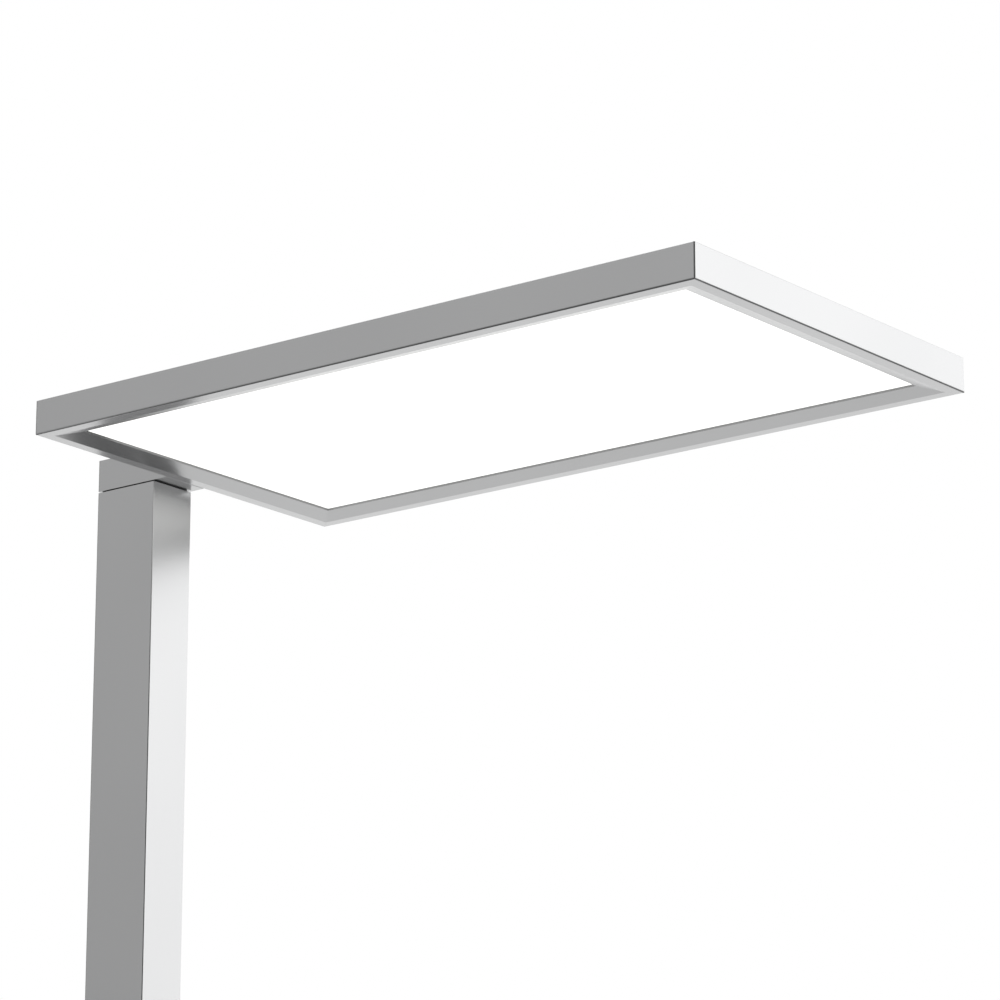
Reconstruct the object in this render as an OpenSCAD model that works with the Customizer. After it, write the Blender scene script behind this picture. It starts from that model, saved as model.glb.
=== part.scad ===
// Office floor lamp: a slim rectangular light head on a square-edged column.
// +X runs from the column to the head's tip, +Y to its far side, +Z up.
// The origin is the column's axis at floor level. All sizes are in millimetres.

/* [Overall] */
// Height from the floor to the top of the head
overall_h = 1950; // [1700:10:2150]

/* [Head frame] */
// Length of the head, from its neck end to its tip
head_len = 630; // [560:5:760]
// Width of the head
head_wid = 346; // [300:2:420]
// Height of the head
head_h = 27.6; // [27:0.2:32]
// Width of the flat lip round the underside
lip_w = 10.8; // [8:0.2:12]
// Width of the whole bezel, from the outer face to its inner edge
bezel_w = 26.5; // [23:0.5:32]
// Rise of the bezel's sloping face above the lip
bezel_rise = 4.1; // [2.5:0.1:4.2]
// Depth of the diffuser above the lip
diffuser_recess = 5.9; // [5:0.1:6.2]
// Wall of the frame extrusion
frame_wall = 2; // [1.6:0.1:2.6]
// Width of the ledge that carries the diffuser
ledge_w = 8; // [7:0.5:9]
// Thickness of the extrusion's inner ribs
rib_t = 1.2; // [1:0.1:1.6]
// Radius of the frame's lower and upright outer edges
frame_edge_r = 1.4; // [0.4:0.1:1.6]
// Radius of the frame's upper outer edges
frame_top_r = 0.5; // [0.3:0.1:1.2]
// Length of each arm of a corner key
key_arm = 38; // [25:1:60]

/* [Light engine] */
// Thickness of the opal diffuser
diffuser_t = 2; // [1.5:0.1:2.2]
// Thickness of the light guide
guide_t = 3; // [2.5:0.1:3.4]
// Thickness of the white reflector sheet
reflector_t = 0.5; // [0.3:0.1:0.8]
// Thickness of the chassis plate
chassis_t = 1.5; // [1.2:0.1:2]
// Thickness of the light strips' boards
strip_t = 1.2; // [0.8:0.1:1.4]
// Spacing of the light strips' emitters
strip_pitch = 14; // [10:1:24]
// Length of each uplight board
board_len = 440; // [300:10:500]
// Width of each uplight board
board_wid = 36; // [24:1:50]
// Spacing of the uplight emitters
board_pitch = 20; // [15:1:40]

/* [Top cover] */
// Thickness of the top cover
cover_t = 1.5; // [1:0.1:2]
// Length of the uplight window
window_len = 480; // [400:5:540]
// Width of the uplight window
window_wid = 200; // [140:5:260]
// Thickness of the uplight lens
lens_t = 2; // [1.5:0.1:3]

/* [Column] */
// Depth of the column, along the head's length
column_x = 61; // [56:1:76]
// Width of the column, across the head
column_y = 45; // [44:1:60]
// Wall of the column extrusion
column_wall = 2.5; // [2.4:0.1:2.8]
// Radius of the column's outer edges
column_edge_r = 1; // [0.5:0.1:2]
// Height of the foot block inside the column
foot_h = 90; // [60:5:100]
// Height of the bearing block inside the column's top
bearing_h = 60; // [50:1:80]

/* [Neck and swivel] */
// Distance from the column's front face to the head's end face
end_gap = 13; // [10:0.5:24]
// Height of the neck block
neck_h = 26; // [25.5:0.1:26.1]
// Open gap between the column and the neck
swivel_gap = 1.1; // [1:0.1:2.5]
// Outside diameter of the spigot
spigot_d = 25; // [22:0.5:25.5]
// Bore of the spigot, for the lead
spigot_bore = 14; // [10:0.5:15]
// Diameter of the spigot's flange
flange_d = 38; // [37:0.5:39]
// Thickness of the spigot's flange
flange_t = 5; // [4:0.2:6]
// Wall of the swivel bush
bush_wall = 2.5; // [1.5:0.1:3]
// Thickness of the thrust washer
thrust_t = 0.8; // [0.5:0.1:0.9]
// Swivel of the head to each side, in degrees
swivel_range = 90; // [30:5:120]
// Diameter of the stop pin
stop_pin_d = 4; // [3:0.5:5]
// Thickness of the lock nut
nut_t = 8; // [6:0.5:12]

/* [Base] */
// Length of the base plate
base_len = 450; // [380:5:600]
// Width of the base plate
base_wid = 300; // [260:5:420]
// Thickness of the base plate
base_t = 10; // [8:0.5:16]
// Distance from the column's axis to the base plate's rear edge
base_rear = 100; // [60:5:160]
// Radius of the base plate's corners
base_corner_r = 5; // [3:0.5:20]
// Thickness of the rubber mat under the base plate
mat_t = 2; // [1:0.5:4]

/* [Driver] */
// Length of the driver's case
driver_len = 280; // [200:5:360]
// Width of the driver's case
driver_w = 30; // [24:1:32]
// Depth of the driver's case
driver_d = 21; // [18:0.5:24]
// Height of the driver's lower end above the floor
driver_z = 230; // [215:5:400]

/* [Controls] */
// Height of the middle of the control panel above the floor
control_z = 1100; // [900:10:1300]
// Width of a key
key_w = 20; // [16:0.5:22]
// Height of a key
key_len = 30; // [24:1:40]
// Travel of a key
key_travel = 0.8; // [0.5:0.1:1.2]

/* [Mains inlet] */
// Height of the middle of the mains inlet above the floor
inlet_z = 145; // [140:5:160]
// Width of the inlet's recess
recess_w = 24.4; // [24:0.1:26]
// Height of the inlet's recess
recess_h = 16.8; // [16.4:0.1:18]
// Depth of the inlet's recess
recess_d = 16; // [14:0.5:18]

/* [Leads and clearances] */
// Diameter of the lead to the head
lead_d = 6; // [4:0.5:7]
// Diameter of the lead to the keys
key_lead_d = 3; // [2:0.5:4]
// Bend radius of the leads at the neck and the inlet
bend_r = 9.5; // [8:0.5:10]
// Clearance round pieces that slide together at assembly
slip = 0.1; // [0.05:0.05:0.2]
// Radial clearance of the turning spigot in its bush
run_clear = 0.05; // [0.02:0.01:0.1]
// Radial clearance of the bush and the stop pin in their seats
seat_clear = 0.02; // [0.01:0.01:0.05]
// Play of the keys in the panel
key_play = 0.2; // [0.1:0.05:0.4]

/* [Hidden] */

$fn = 48;
eps = 0.01;            // how far a cut runs past the face it opens
over = 1;              // how far a through cut runs past both faces

silver = "silver";
steel = "lightsteelblue";

base_bevel = 1;
mat_inset = 4;

// Levels of the column and the head
base_top = mat_t + base_t;
head_z = overall_h - head_h;
column_top = head_z - swivel_gap;

// Plan of the head
head_x0 = column_x / 2 + end_gap;
head_x1 = head_x0 + head_len;
head_mid = (head_x0 + head_x1) / 2;

// Levels inside the head, above its lip
guide_z = diffuser_recess + diffuser_t;
reflector_z = guide_z + guide_t;
chassis_z = reflector_z + reflector_t;
chassis_top = chassis_z + chassis_t;
cover_z = head_h - cover_t;
shelf_u = frame_wall + 6;              // reach of the chassis shelf and the cover shelf
channel_top = cover_z - rib_t;         // the cover shelf is the key channel's upper rib
key_h = 7.4;                           // height of a corner key
key_t = 2.3;                           // thickness of a corner key
hook_h = 1.2;                          // how far the channel's hooks reach over a key
channel_z = channel_top - key_h - 2 * slip;
hook_u = frame_wall + key_t + 2 * slip;

// The frame's lower flange, its strip rib and the light strips
ledge_u = bezel_w - ledge_w;
flange_wall = 1.6;
strip_rib_t = 1;
strip_rib_top = chassis_z - 1.9;
strip_u = ledge_u + slip;
emitter = [3, 0.9, 1.4];               // an emitter of the light strips
guide_u = strip_u + strip_t + emitter[1] + 0.3;
strip_h = chassis_z - diffuser_recess - 2 * slip;

// Column interior
bore_x = column_x - 2 * column_wall;
bore_y = column_y - 2 * column_wall;
tray_t = 1.5;
guide_rib_t = 1.5;
guide_rib_h = 2;
groove_w = tray_t + 2 * slip;
groove_x = -(driver_d / 2 + tray_t / 2);
slot_w = groove_w + 2 * guide_rib_t + 4 * slip;

// Swivel stack, from the neck downwards
bush_d = spigot_d + 2 * run_clear + 2 * bush_wall;
bearing_z = column_top - bearing_h;
stop_h = stop_pin_d + 2;
stop_r = spigot_d / 2 + 4;
stop_wall_r = stop_r + 0.5;
stop_play = 0.1;
washer_d = 2 * stop_wall_r + 2.4;
pressure_t = 2;
disc_t = 1.4;
disc_rise = 0.5;
disc_z = bearing_z - pressure_t - disc_t - disc_rise;
nut_z = disc_z - nut_t;
spigot_z = nut_z - 1.5;
flange_z = column_top + thrust_t;
flange_seat = flange_z + flange_t - head_z;
spigot_pcd = (spigot_d + flange_d) / 2;
spigot_tip = 1;                        // bevel on the spigot's lower end
thrust_inset = 2;                      // how far the thrust washer stays inside the column's faces
peg_d = 3;
peg_h = 3;
peg_x = (bush_d + bore_x) / 4;
nut_slot = [3, 5];                     // width and length of a spanner slot

// Shapes that all screws share, in shares of the thread or the head
socket_d = 0.62;                       // across the socket's corners, of the thread
csk_socket = 0.7;                      // depth of a socket in a countersunk head
pan_socket = 0.6;                      // depth of a socket in a pan head
pan_top = 0.8;                         // width of a pan head's top

// Screws: [thread diameter, head diameter, head height]
m6_csk = [6, 11.5, 3.2];
m4_csk = [4, 7.6, 2.1];
m4_pan = [4, 7.6, 2.4];
m3_csk = [3, 5.6, 1.5];
m3_pan = [3, 5.4, 1.8];
m25_csk = [2.5, 4.6, 1.2];

// Neck
neck_x0 = -column_x / 2;
neck_tail = 10;                        // runs on past the head's end, so that only the rear is round
lead_z = (chassis_top + cover_z) / 2 + 0.7;
pocket_x = [-14, 16];
pocket_y = 9;
pocket_z = lead_z - bend_r + 2;
cap_t = 2;
cap_margin = 8;
cap_y = pocket_y + 7;
cap_len = pocket_x[1] - pocket_x[0] + 2 * cap_margin;
pocket_mid = (pocket_x[0] + pocket_x[1]) / 2;
cap_screw_x = [pocket_x[0] - cap_margin / 2, pocket_x[1] + cap_margin / 2];
cap_screw_y = pocket_y + 3.5;
bracket_t = 2.5;
bracket_y = 24;
bracket_len = 45;
bracket_top = cover_z - 0.6;
bracket_bend = 0.6;
rivet_x = [0.35, 0.85] * bracket_len;
rivet_y = 0.7 * bracket_y;
rivet_head = [m4_pan[1], 0.6 * m4_pan[1], 1.3];
neck_screw_y = [-17.5, -9.5, 9.5, 17.5];
neck_hole_r = lead_d / 2 + 0.8;

// Base, foot and bearing screws
base_screw_x = 17;
base_screw_y = 11;
base_screw_len = 26;
foot_screw_z = [base_top + foot_h * 0.35, base_top + foot_h * 0.75];
foot_screw_len = 14;
bearing_screw_z = [column_top - bearing_h * 0.2, column_top - bearing_h * 0.65];
bearing_screw_len = (column_x - bush_d) / 2 - 3;

// Chassis, cover and board screws
edge_screw_u = frame_wall + 3.6;
chassis_screw_len = chassis_t + rib_t;
cover_screw_len = cover_t + rib_t;
edge_screw_end = head_len * 0.08;
edge_screw_pitch = (head_len - 2 * edge_screw_end) / 4;
long_screw_x = [for (k = [0 : 4]) head_x0 + edge_screw_end + k * edge_screw_pitch];
end_screw_y = head_wid * 0.32;
chassis_gap = 0.3;                     // between the chassis plate and the frame
cover_gap = 0.2;                       // between the top cover and the frame
window_r = 4;
lens_lap = 8;                          // how far the lens reaches past its window
board_y = (board_wid + 34) / 2;
board_t = 1.6;
board_margin = 10;                     // bare end of an uplight board
board_screw_x = (board_len - board_margin) / 2;
led = 3;
led_t = 0.7;
terminal = [26, 20, 10];
terminal_x = head_x0 + frame_wall + bracket_len + 4;
port_pitch = 6;
port = [3, 8, 4.5];                    // diameter, depth and height of a wire port
well = [3.6, 4, 16];                   // diameter, depth and place of a screw well

// Driver, tray and inlet
tray_foot_h = 16;
tray_z = driver_z - 20;
tray_top = driver_z + driver_len + 12;
tray_screw_z = tray_z + tray_foot_h / 2;
tray_foot_w = 16;
driver_ear = 8;
ear_t = 1.2;
seam_x = 4;                            // from the driver's front face to its lid's seam
seam = [0.6, 0.8];                     // width of the seam, and twice its depth
inlet_wall = 1.4;
inlet_flange = 2;
inlet_margin = 3.2;
inlet_w = recess_w + 2 * inlet_wall;
inlet_h = recess_h + 2 * inlet_wall;
inlet_back = 3;
inlet_x = -column_x / 2;
inlet_face = inlet_x - inlet_flange;
inlet_end = inlet_face + recess_d + inlet_back;
pin_t = 2;
pin_w = 4;
pin_gap = 14;
pin_shift = 2;
pin_tip = inlet_face + 4;
earth_lead = 2;
snap_h = 1.2;
snap_len = 4;
inlet_snap_w = 8;
panel_snap_w = 12;
recess_cut = 5;                        // cut corners beside the earth pin

// Control panel
panel_wall = 1.6;
panel_gap = 3;
panel_flange = 1.4;
cavity_w = key_w + 3;
cavity_h = 2 * key_len + panel_gap + 3;
panel_body = [9, cavity_w + 2 * panel_wall, cavity_h + 2 * panel_wall];
panel_margin = 2.6;
panel_r = 3;
key_r = 2;
key_flange = 1.2;
key_rim = 1.2;
key_bevel = 0.6;
key_lift = 0.6;
board_depth = 1.6;
panel_x = column_x / 2;
key_pitch = key_len + panel_gap;
panel_face = 2;
key_seat_x = panel_x + panel_flange - panel_face;
switch_size = [3, 6, 6];
switch_floor = 0.3;
board_x = panel_x - panel_body[0];
switch_x = board_x + board_depth;
stem_r = 1.6;
stem_x0 = switch_x + switch_floor + key_travel + 0.1;
stem_x1 = key_seat_x - key_flange;
key_lead_x = driver_d / 2 - key_lead_d / 2 - 0.7;

// ---------- Shared shapes ----------

// Rectangle with round corners, centred.
module round_rect(x, y, r) {
  square([x - 2 * r, y], center = true);
  square([x, y - 2 * r], center = true);
  for (sx = [-1, 1], sy = [-1, 1])
    translate([sx * (x / 2 - r), sy * (y / 2 - r)]) circle(r);
}

// Plate with round corners and a bevelled upper edge, standing on z = 0.
module bevelled_plate(x, y, r, t, c) {
  linear_extrude(t - c) round_rect(x, y, r);
  translate([0, 0, t - c]) {
    for (sx = [-1, 1], sy = [-1, 1])
      translate([sx * (x / 2 - r), sy * (y / 2 - r), 0]) cylinder(r1 = r, r2 = r - c, h = c);
    rotate([90, 0, 0]) linear_extrude(y - 2 * r, center = true)
      polygon([[-x / 2, 0], [x / 2, 0], [x / 2 - c, c], [c - x / 2, c]]);
    rotate([90, 0, 90]) linear_extrude(x - 2 * r, center = true)
      polygon([[-y / 2, 0], [y / 2, 0], [y / 2 - c, c], [c - y / 2, c]]);
  }
}

// Countersunk screw along -Z, its head's face on z = 0, with a hexagon socket.
module csk_screw(size, len) {
  difference() {
    union() {
      translate([0, 0, -size[2]]) cylinder(d1 = size[0], d2 = size[1] - 0.2, h = size[2]);
      translate([0, 0, -len]) cylinder(d = size[0], h = len - size[2] + eps);
    }
    translate([0, 0, -size[2] * csk_socket]) cylinder(d = size[0] * socket_d, h = size[2], $fn = 6);
  }
}

// Hole for a countersunk screw, opening upwards at z = 0.
module csk_hole(size, len) {
  translate([0, 0, -size[2]]) cylinder(d1 = size[0] + 2 * slip, d2 = size[1] + 2 * slip, h = size[2]);
  translate([0, 0, -eps]) cylinder(d = size[1] + 2 * slip, h = over);
  translate([0, 0, -len]) cylinder(d = size[0] + 2 * slip, h = len);
}

// Pan-head screw along -Z, its head seated on z = 0, with a hexagon socket.
module pan_screw(size, len) {
  difference() {
    union() {
      cylinder(d1 = size[1], d2 = size[1] * pan_top, h = size[2]);
      translate([0, 0, -len]) cylinder(d = size[0], h = len + eps);
    }
    translate([0, 0, size[2] * (1 - pan_socket)]) cylinder(d = size[0] * socket_d, h = size[2], $fn = 6);
  }
}

// Plain hole along -Z below z = 0, open at the top.
module screw_hole(size, len) {
  translate([0, 0, -len]) cylinder(d = size[0] + 2 * slip, h = len + over);
}

// Turns a screw that points down so that it points along +X, from the rear.
module from_rear(x, z) {
  translate([x, 0, z]) rotate([0, -90, 0]) children();
}

// ---------- Base ----------

module base_mat() {
  color("dimgray")
    translate([base_len / 2 - base_rear, 0, 0])
      linear_extrude(mat_t)
        round_rect(base_len - 2 * mat_inset, base_wid - 2 * mat_inset, base_corner_r);
}

module at_base_screws() {
  for (sx = [-1, 1], sy = [-1, 1])
    translate([sx * base_screw_x, sy * base_screw_y, mat_t]) rotate([180, 0, 0]) children();
}

module base_plate() {
  color(silver) difference() {
    translate([base_len / 2 - base_rear, 0, mat_t])
      bevelled_plate(base_len, base_wid, base_corner_r, base_t, base_bevel);
    at_base_screws() csk_hole(m6_csk, base_t + over);
  }
}

module base_screws() {
  color(steel) at_base_screws() csk_screw(m6_csk, base_screw_len);
}

// ---------- Column ----------

// Plan of a block that slides into the column, slotted for the guide ribs.
module block_plan() {
  difference() {
    round_rect(bore_x - 2 * slip, bore_y - 2 * slip, 1);
    for (s = [-1, 1])
      translate([groove_x, s * (bore_y / 2 - guide_rib_h / 2)])
        square([slot_w, guide_rib_h + 4 * slip], center = true);
  }
}

module foot_block() {
  color("gray") difference() {
    translate([0, 0, base_top]) linear_extrude(foot_h) block_plan();
    at_base_screws() screw_hole(m6_csk, base_screw_len + 2);
    for (z = foot_screw_z)
      from_rear(-column_x / 2, z) screw_hole(m4_csk, foot_screw_len + 2);
  }
}

module foot_screws() {
  color(steel) for (z = foot_screw_z)
    from_rear(-column_x / 2, z) csk_screw(m4_csk, foot_screw_len);
}

// Two ribs on each long wall form the grooves that the driver tray slides in.
module column_plan() {
  difference() {
    round_rect(column_x, column_y, column_edge_r);
    square([bore_x, bore_y], center = true);
  }
  for (s = [-1, 1], side = [-1, 1])
    translate([groove_x + side * (groove_w + guide_rib_t) / 2, s * (bore_y - guide_rib_h) / 2])
      square([guide_rib_t, guide_rib_h + 2 * eps], center = true);
}

module column_profile() {
  color(silver) difference() {
    translate([0, 0, base_top]) linear_extrude(column_top - base_top) column_plan();
    for (z = foot_screw_z) from_rear(-column_x / 2, z) csk_hole(m4_csk, column_wall + over);
    for (z = bearing_screw_z) from_rear(-column_x / 2, z) csk_hole(m4_csk, column_wall + over);
    from_rear(-column_x / 2, tray_screw_z) csk_hole(m3_csk, column_wall + over);
    translate([inlet_x, 0, inlet_z])
      cube([4 * column_wall, inlet_w + 2 * slip, inlet_h + 2 * slip], center = true);
    translate([panel_x, 0, control_z])
      cube([4 * column_wall, panel_body[1] + 2 * slip, panel_body[2] + 2 * slip], center = true);
  }
}

// ---------- Swivel bearing in the column's top ----------

// Sector that the stop pin sweeps, open downwards.
module stop_sector() {
  half = swivel_range + asin((stop_pin_d / 2 + stop_play) / (spigot_d / 2));
  rotate([0, 0, -half]) rotate_extrude(angle = 2 * half)
    translate([spigot_d / 2 - 1, 0]) square([stop_wall_r - spigot_d / 2 + 1, stop_h]);
}

module bearing_block() {
  color("gray") difference() {
    translate([0, 0, bearing_z]) linear_extrude(bearing_h) block_plan();
    translate([0, 0, bearing_z + stop_h]) cylinder(d = bush_d + 2 * seat_clear, h = bearing_h);
    translate([0, 0, bearing_z - over]) cylinder(d = spigot_d + 4 * run_clear, h = stop_h + 2 * over);
    translate([0, 0, bearing_z - eps]) stop_sector();
    at_thrust_pegs() translate([0, 0, -peg_h - 0.2]) cylinder(d = peg_d + 2 * slip, h = peg_h + over);
    for (z = bearing_screw_z)
      from_rear(-column_x / 2, z) screw_hole(m4_csk, bearing_screw_len + 1);
  }
}

module bearing_screws() {
  color(steel) for (z = bearing_screw_z)
    from_rear(-column_x / 2, z) csk_screw(m4_csk, bearing_screw_len);
}

// Ring of rectangular section, standing on z.
module ring(outer, inner, z, t) {
  translate([0, 0, z]) difference() {
    cylinder(d = outer, h = t);
    translate([0, 0, -over]) cylinder(d = inner, h = t + 2 * over);
  }
}

module swivel_bush() {
  color("darkgoldenrod")
    ring(bush_d, spigot_d + 2 * run_clear, bearing_z + stop_h, bearing_h - stop_h);
}

module at_thrust_pegs() {
  for (s = [-1, 1]) translate([s * peg_x, 0, column_top]) children();
}

// Black washer as wide as the column, which the spigot's flange turns on. Two pegs hold it.
module thrust_washer() {
  color("dimgray") difference() {
    union() {
      translate([0, 0, column_top]) linear_extrude(thrust_t)
        round_rect(column_x - 2 * thrust_inset, column_y - 2 * thrust_inset, thrust_inset);
      at_thrust_pegs() translate([0, 0, -peg_h]) cylinder(d = peg_d, h = peg_h + eps);
    }
    translate([0, 0, column_top - over]) cylinder(d = spigot_d + 0.6, h = thrust_t + 2 * over);
  }
}

module pressure_washer() {
  color(steel) ring(washer_d, spigot_d + 0.6, bearing_z - pressure_t, pressure_t);
}

// Cone spring washer that sets the swivel's friction.
module disc_spring() {
  color("darkgray") translate([0, 0, disc_z]) rotate_extrude()
    polygon([[spigot_d / 2 + 0.3, disc_rise], [washer_d / 2, 0],
             [washer_d / 2, disc_t], [spigot_d / 2 + 0.3, disc_t + disc_rise]]);
}

// Round nut with four slots for a hook spanner.
module lock_nut() {
  color(steel) difference() {
    ring(washer_d, spigot_d + 2 * seat_clear, nut_z, nut_t);
    for (a = [0 : 90 : 270])
      rotate([0, 0, a]) translate([washer_d / 2, 0, nut_z + nut_t / 2])
        cube([nut_slot[1], nut_slot[0], nut_t + 2 * over], center = true);
  }
}

module at_spigot_screws() {
  for (a = [45 : 90 : 315])
    rotate([0, 0, a]) translate([spigot_pcd / 2, 0, flange_z])
      rotate([180, 0, 0]) children();
}

// Hollow spigot with a flange that bolts up into the neck.
module swivel_spigot() {
  color(steel) difference() {
    union() {
      translate([0, 0, spigot_z + spigot_tip])
        cylinder(d = spigot_d, h = flange_z - spigot_z - spigot_tip + eps);
      translate([0, 0, spigot_z])
        cylinder(d1 = spigot_d - 2 * spigot_tip, d2 = spigot_d, h = spigot_tip);
      translate([0, 0, flange_z]) cylinder(d = flange_d, h = flange_t);
    }
    translate([0, 0, spigot_z - over])
      cylinder(d = spigot_bore, h = flange_z + flange_t - spigot_z + 2 * over);
    translate([0, 0, bearing_z + stop_h / 2]) rotate([0, 90, 0]) cylinder(d = stop_pin_d, h = spigot_d);
    at_spigot_screws() csk_hole(m3_csk, flange_t + over);
  }
}

module stop_pin() {
  color("dimgray") translate([spigot_bore / 2 + 0.4, 0, bearing_z + stop_h / 2])
    rotate([0, 90, 0]) cylinder(d = stop_pin_d - 2 * seat_clear, h = stop_r - spigot_bore / 2 - 0.4);
}

module spigot_screws() {
  color(steel) at_spigot_screws() csk_screw(m3_csk, flange_t + 4);
}

// ---------- Neck ----------

module at_cap_screws() {
  for (x = cap_screw_x, s = [-1, 1])
    translate([x, s * cap_screw_y, head_z + neck_h]) children();
}

module at_neck_screws(x) {
  for (y = neck_screw_y)
    translate([x, y, head_z + lead_z]) rotate([0, 90, 0]) children();
}

// Solid neck: the spigot's flange seats in it from below, and the lead turns
// from the swivel's axis into the head in the pocket under the cap.
module neck_block() {
  cap_z = head_z + neck_h - cap_t;
  color(silver) difference() {
    intersection() {
      translate([neck_x0, -column_y / 2, head_z]) cube([head_x0 - neck_x0, column_y, neck_h]);
      translate([0, 0, head_z]) linear_extrude(neck_h)
        translate([(head_x0 + neck_x0 + neck_tail) / 2, 0])
          round_rect(head_x0 - neck_x0 + neck_tail, column_y, column_edge_r);
    }
    translate([0, 0, head_z - over]) cylinder(d = flange_d + 2 * slip, h = flange_seat + over);
    translate([0, 0, head_z]) cylinder(d = spigot_bore, h = pocket_z + eps);
    translate([pocket_x[0], -pocket_y, head_z + pocket_z])
      cube([pocket_x[1] - pocket_x[0], 2 * pocket_y, neck_h]);
    translate([pocket_mid, 0, cap_z]) linear_extrude(cap_t + over)
      square([cap_len + 2 * slip, 2 * (cap_y + slip)], center = true);
    translate([0, 0, head_z + lead_z]) rotate([0, 90, 0]) cylinder(r = neck_hole_r, h = head_x0 + over);
    at_spigot_screws() screw_hole(m3_csk, flange_t + 5);
    at_cap_screws() screw_hole(m25_csk, 8);
    at_neck_screws(head_x0) screw_hole(m4_pan, 14);
  }
}

module neck_cap() {
  color(silver) difference() {
    translate([pocket_mid, 0, head_z + neck_h - cap_t])
      linear_extrude(cap_t) square([cap_len, 2 * cap_y], center = true);
    at_cap_screws() csk_hole(m25_csk, cap_t + over);
  }
}

module cap_screws() {
  color(steel) at_cap_screws() csk_screw(m25_csk, 7);
}

// Steel angle inside the head: its upright is screwed to the neck through the
// frame, its leg is riveted to the chassis.
module neck_bracket() {
  x0 = head_x0 + frame_wall;
  color("gray") difference() {
    translate([x0, bracket_y, head_z + chassis_top]) rotate([90, 0, 0])
      linear_extrude(2 * bracket_y)
        polygon([[0, 0], [bracket_len, 0], [bracket_len, bracket_t],
                 [bracket_t + bracket_bend, bracket_t], [bracket_t, bracket_t + bracket_bend],
                 [bracket_t, bracket_top - chassis_top], [0, bracket_top - chassis_top]]);
    at_neck_screws(x0 + bracket_t) screw_hole(m4_pan, bracket_t + over);
    translate([x0 - over, 0, head_z + lead_z]) rotate([0, 90, 0])
      cylinder(r = neck_hole_r, h = bracket_t + 2 * over);
    at_bracket_rivets() screw_hole(m4_pan, bracket_t + over);
  }
}

module neck_screws() {
  color(steel) at_neck_screws(head_x0 + frame_wall + bracket_t)
    pan_screw(m4_pan, frame_wall + bracket_t + 12);
}

module at_bracket_rivets() {
  for (x = rivet_x, s = [-1, 1])
    translate([head_x0 + frame_wall + x, s * rivet_y, head_z + chassis_top + bracket_t])
      children();
}

module bracket_rivets() {
  color("lightgray") at_bracket_rivets() {
    cylinder(d1 = rivet_head[0], d2 = rivet_head[1], h = rivet_head[2]);
    translate([0, 0, -bracket_t - chassis_t]) cylinder(d = m4_pan[0], h = bracket_t + chassis_t + eps);
  }
}

// ---------- Head frame ----------

// Outline that rounds the section's two outer edges and reaches past all the rest of it.
module section_outline() {
  w = bezel_w + over;
  polygon([[frame_edge_r, 0], [w, 0], [w, head_h], [frame_top_r, head_h],
           [0, head_h - frame_top_r], [0, frame_edge_r]]);
  translate([frame_edge_r, frame_edge_r]) circle(frame_edge_r);
  translate([frame_top_r, head_h - frame_top_r]) circle(frame_top_r);
}

// Section of the frame extrusion: u runs inwards from the outer face, v up.
module frame_section() {
  slope_v = flange_wall + (ledge_u - strip_rib_t - lip_w) * bezel_rise / (bezel_w - lip_w);
  intersection() {
    union() {
      polygon([[0, 0], [lip_w, 0], [bezel_w, bezel_rise], [bezel_w, diffuser_recess],
               [ledge_u, diffuser_recess], [ledge_u, strip_rib_top],
               [ledge_u - strip_rib_t, strip_rib_top], [ledge_u - strip_rib_t, slope_v],
               [lip_w, flange_wall], [frame_wall, flange_wall], [frame_wall, head_h], [0, head_h]]);
      translate([frame_wall - eps, chassis_z - rib_t]) square([shelf_u - frame_wall, rib_t]);
      translate([frame_wall - eps, channel_z - rib_t]) square([hook_u + rib_t - frame_wall, rib_t]);
      translate([frame_wall - eps, channel_top]) square([shelf_u - frame_wall, rib_t]);
      translate([hook_u, channel_z - eps]) square([rib_t, hook_h]);
      translate([hook_u, channel_top - hook_h + eps]) square([rib_t, hook_h]);
    }
    section_outline();
  }
}

// Plan of a mitred bar of length len, its outer face on y = 0.
module mitre_plan(len) {
  d = bezel_w + over;
  polygon([[0, 0], [len, 0], [len - d, d], [d, d]]);
}

// Bar of the frame along +X from the origin, mitred at both ends.
module frame_bar(len) {
  intersection() {
    rotate([90, 0, 90]) linear_extrude(len) frame_section();
    linear_extrude(head_h) mitre_plan(len);
  }
}

// Outer block of the head, with round upright corners.
module head_block() {
  translate([head_mid, 0, head_z - over])
    linear_extrude(head_h + 2 * over) round_rect(head_len, head_wid, frame_edge_r);
}

// Screw holes along the frame's shelves, in the near half of the head.
module long_shelf_holes() {
  for (x = long_screw_x) {
    translate([x, edge_screw_u - head_wid / 2, head_z + chassis_z]) screw_hole(m3_pan, rib_t + over);
    translate([x, edge_screw_u - head_wid / 2, head_z + cover_z]) screw_hole(m3_csk, rib_t + over);
  }
}

module end_shelf_holes(x) {
  for (s = [-1, 1]) {
    translate([x, s * end_screw_y, head_z + chassis_z]) screw_hole(m3_pan, rib_t + over);
    translate([x, s * end_screw_y, head_z + cover_z]) screw_hole(m3_csk, rib_t + over);
  }
}

module frame_near() {
  color(silver) difference() {
    intersection() {
      translate([head_x0, -head_wid / 2, head_z]) frame_bar(head_len);
      head_block();
    }
    long_shelf_holes();
  }
}

module frame_far() {
  color(silver) mirror([0, 1, 0]) difference() {
    intersection() {
      translate([head_x0, -head_wid / 2, head_z]) frame_bar(head_len);
      head_block();
    }
    long_shelf_holes();
  }
}

module frame_tip() {
  color(silver) difference() {
    intersection() {
      translate([head_x1, -head_wid / 2, head_z]) rotate([0, 0, 90]) frame_bar(head_wid);
      head_block();
    }
    end_shelf_holes(head_x1 - edge_screw_u);
  }
}

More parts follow.
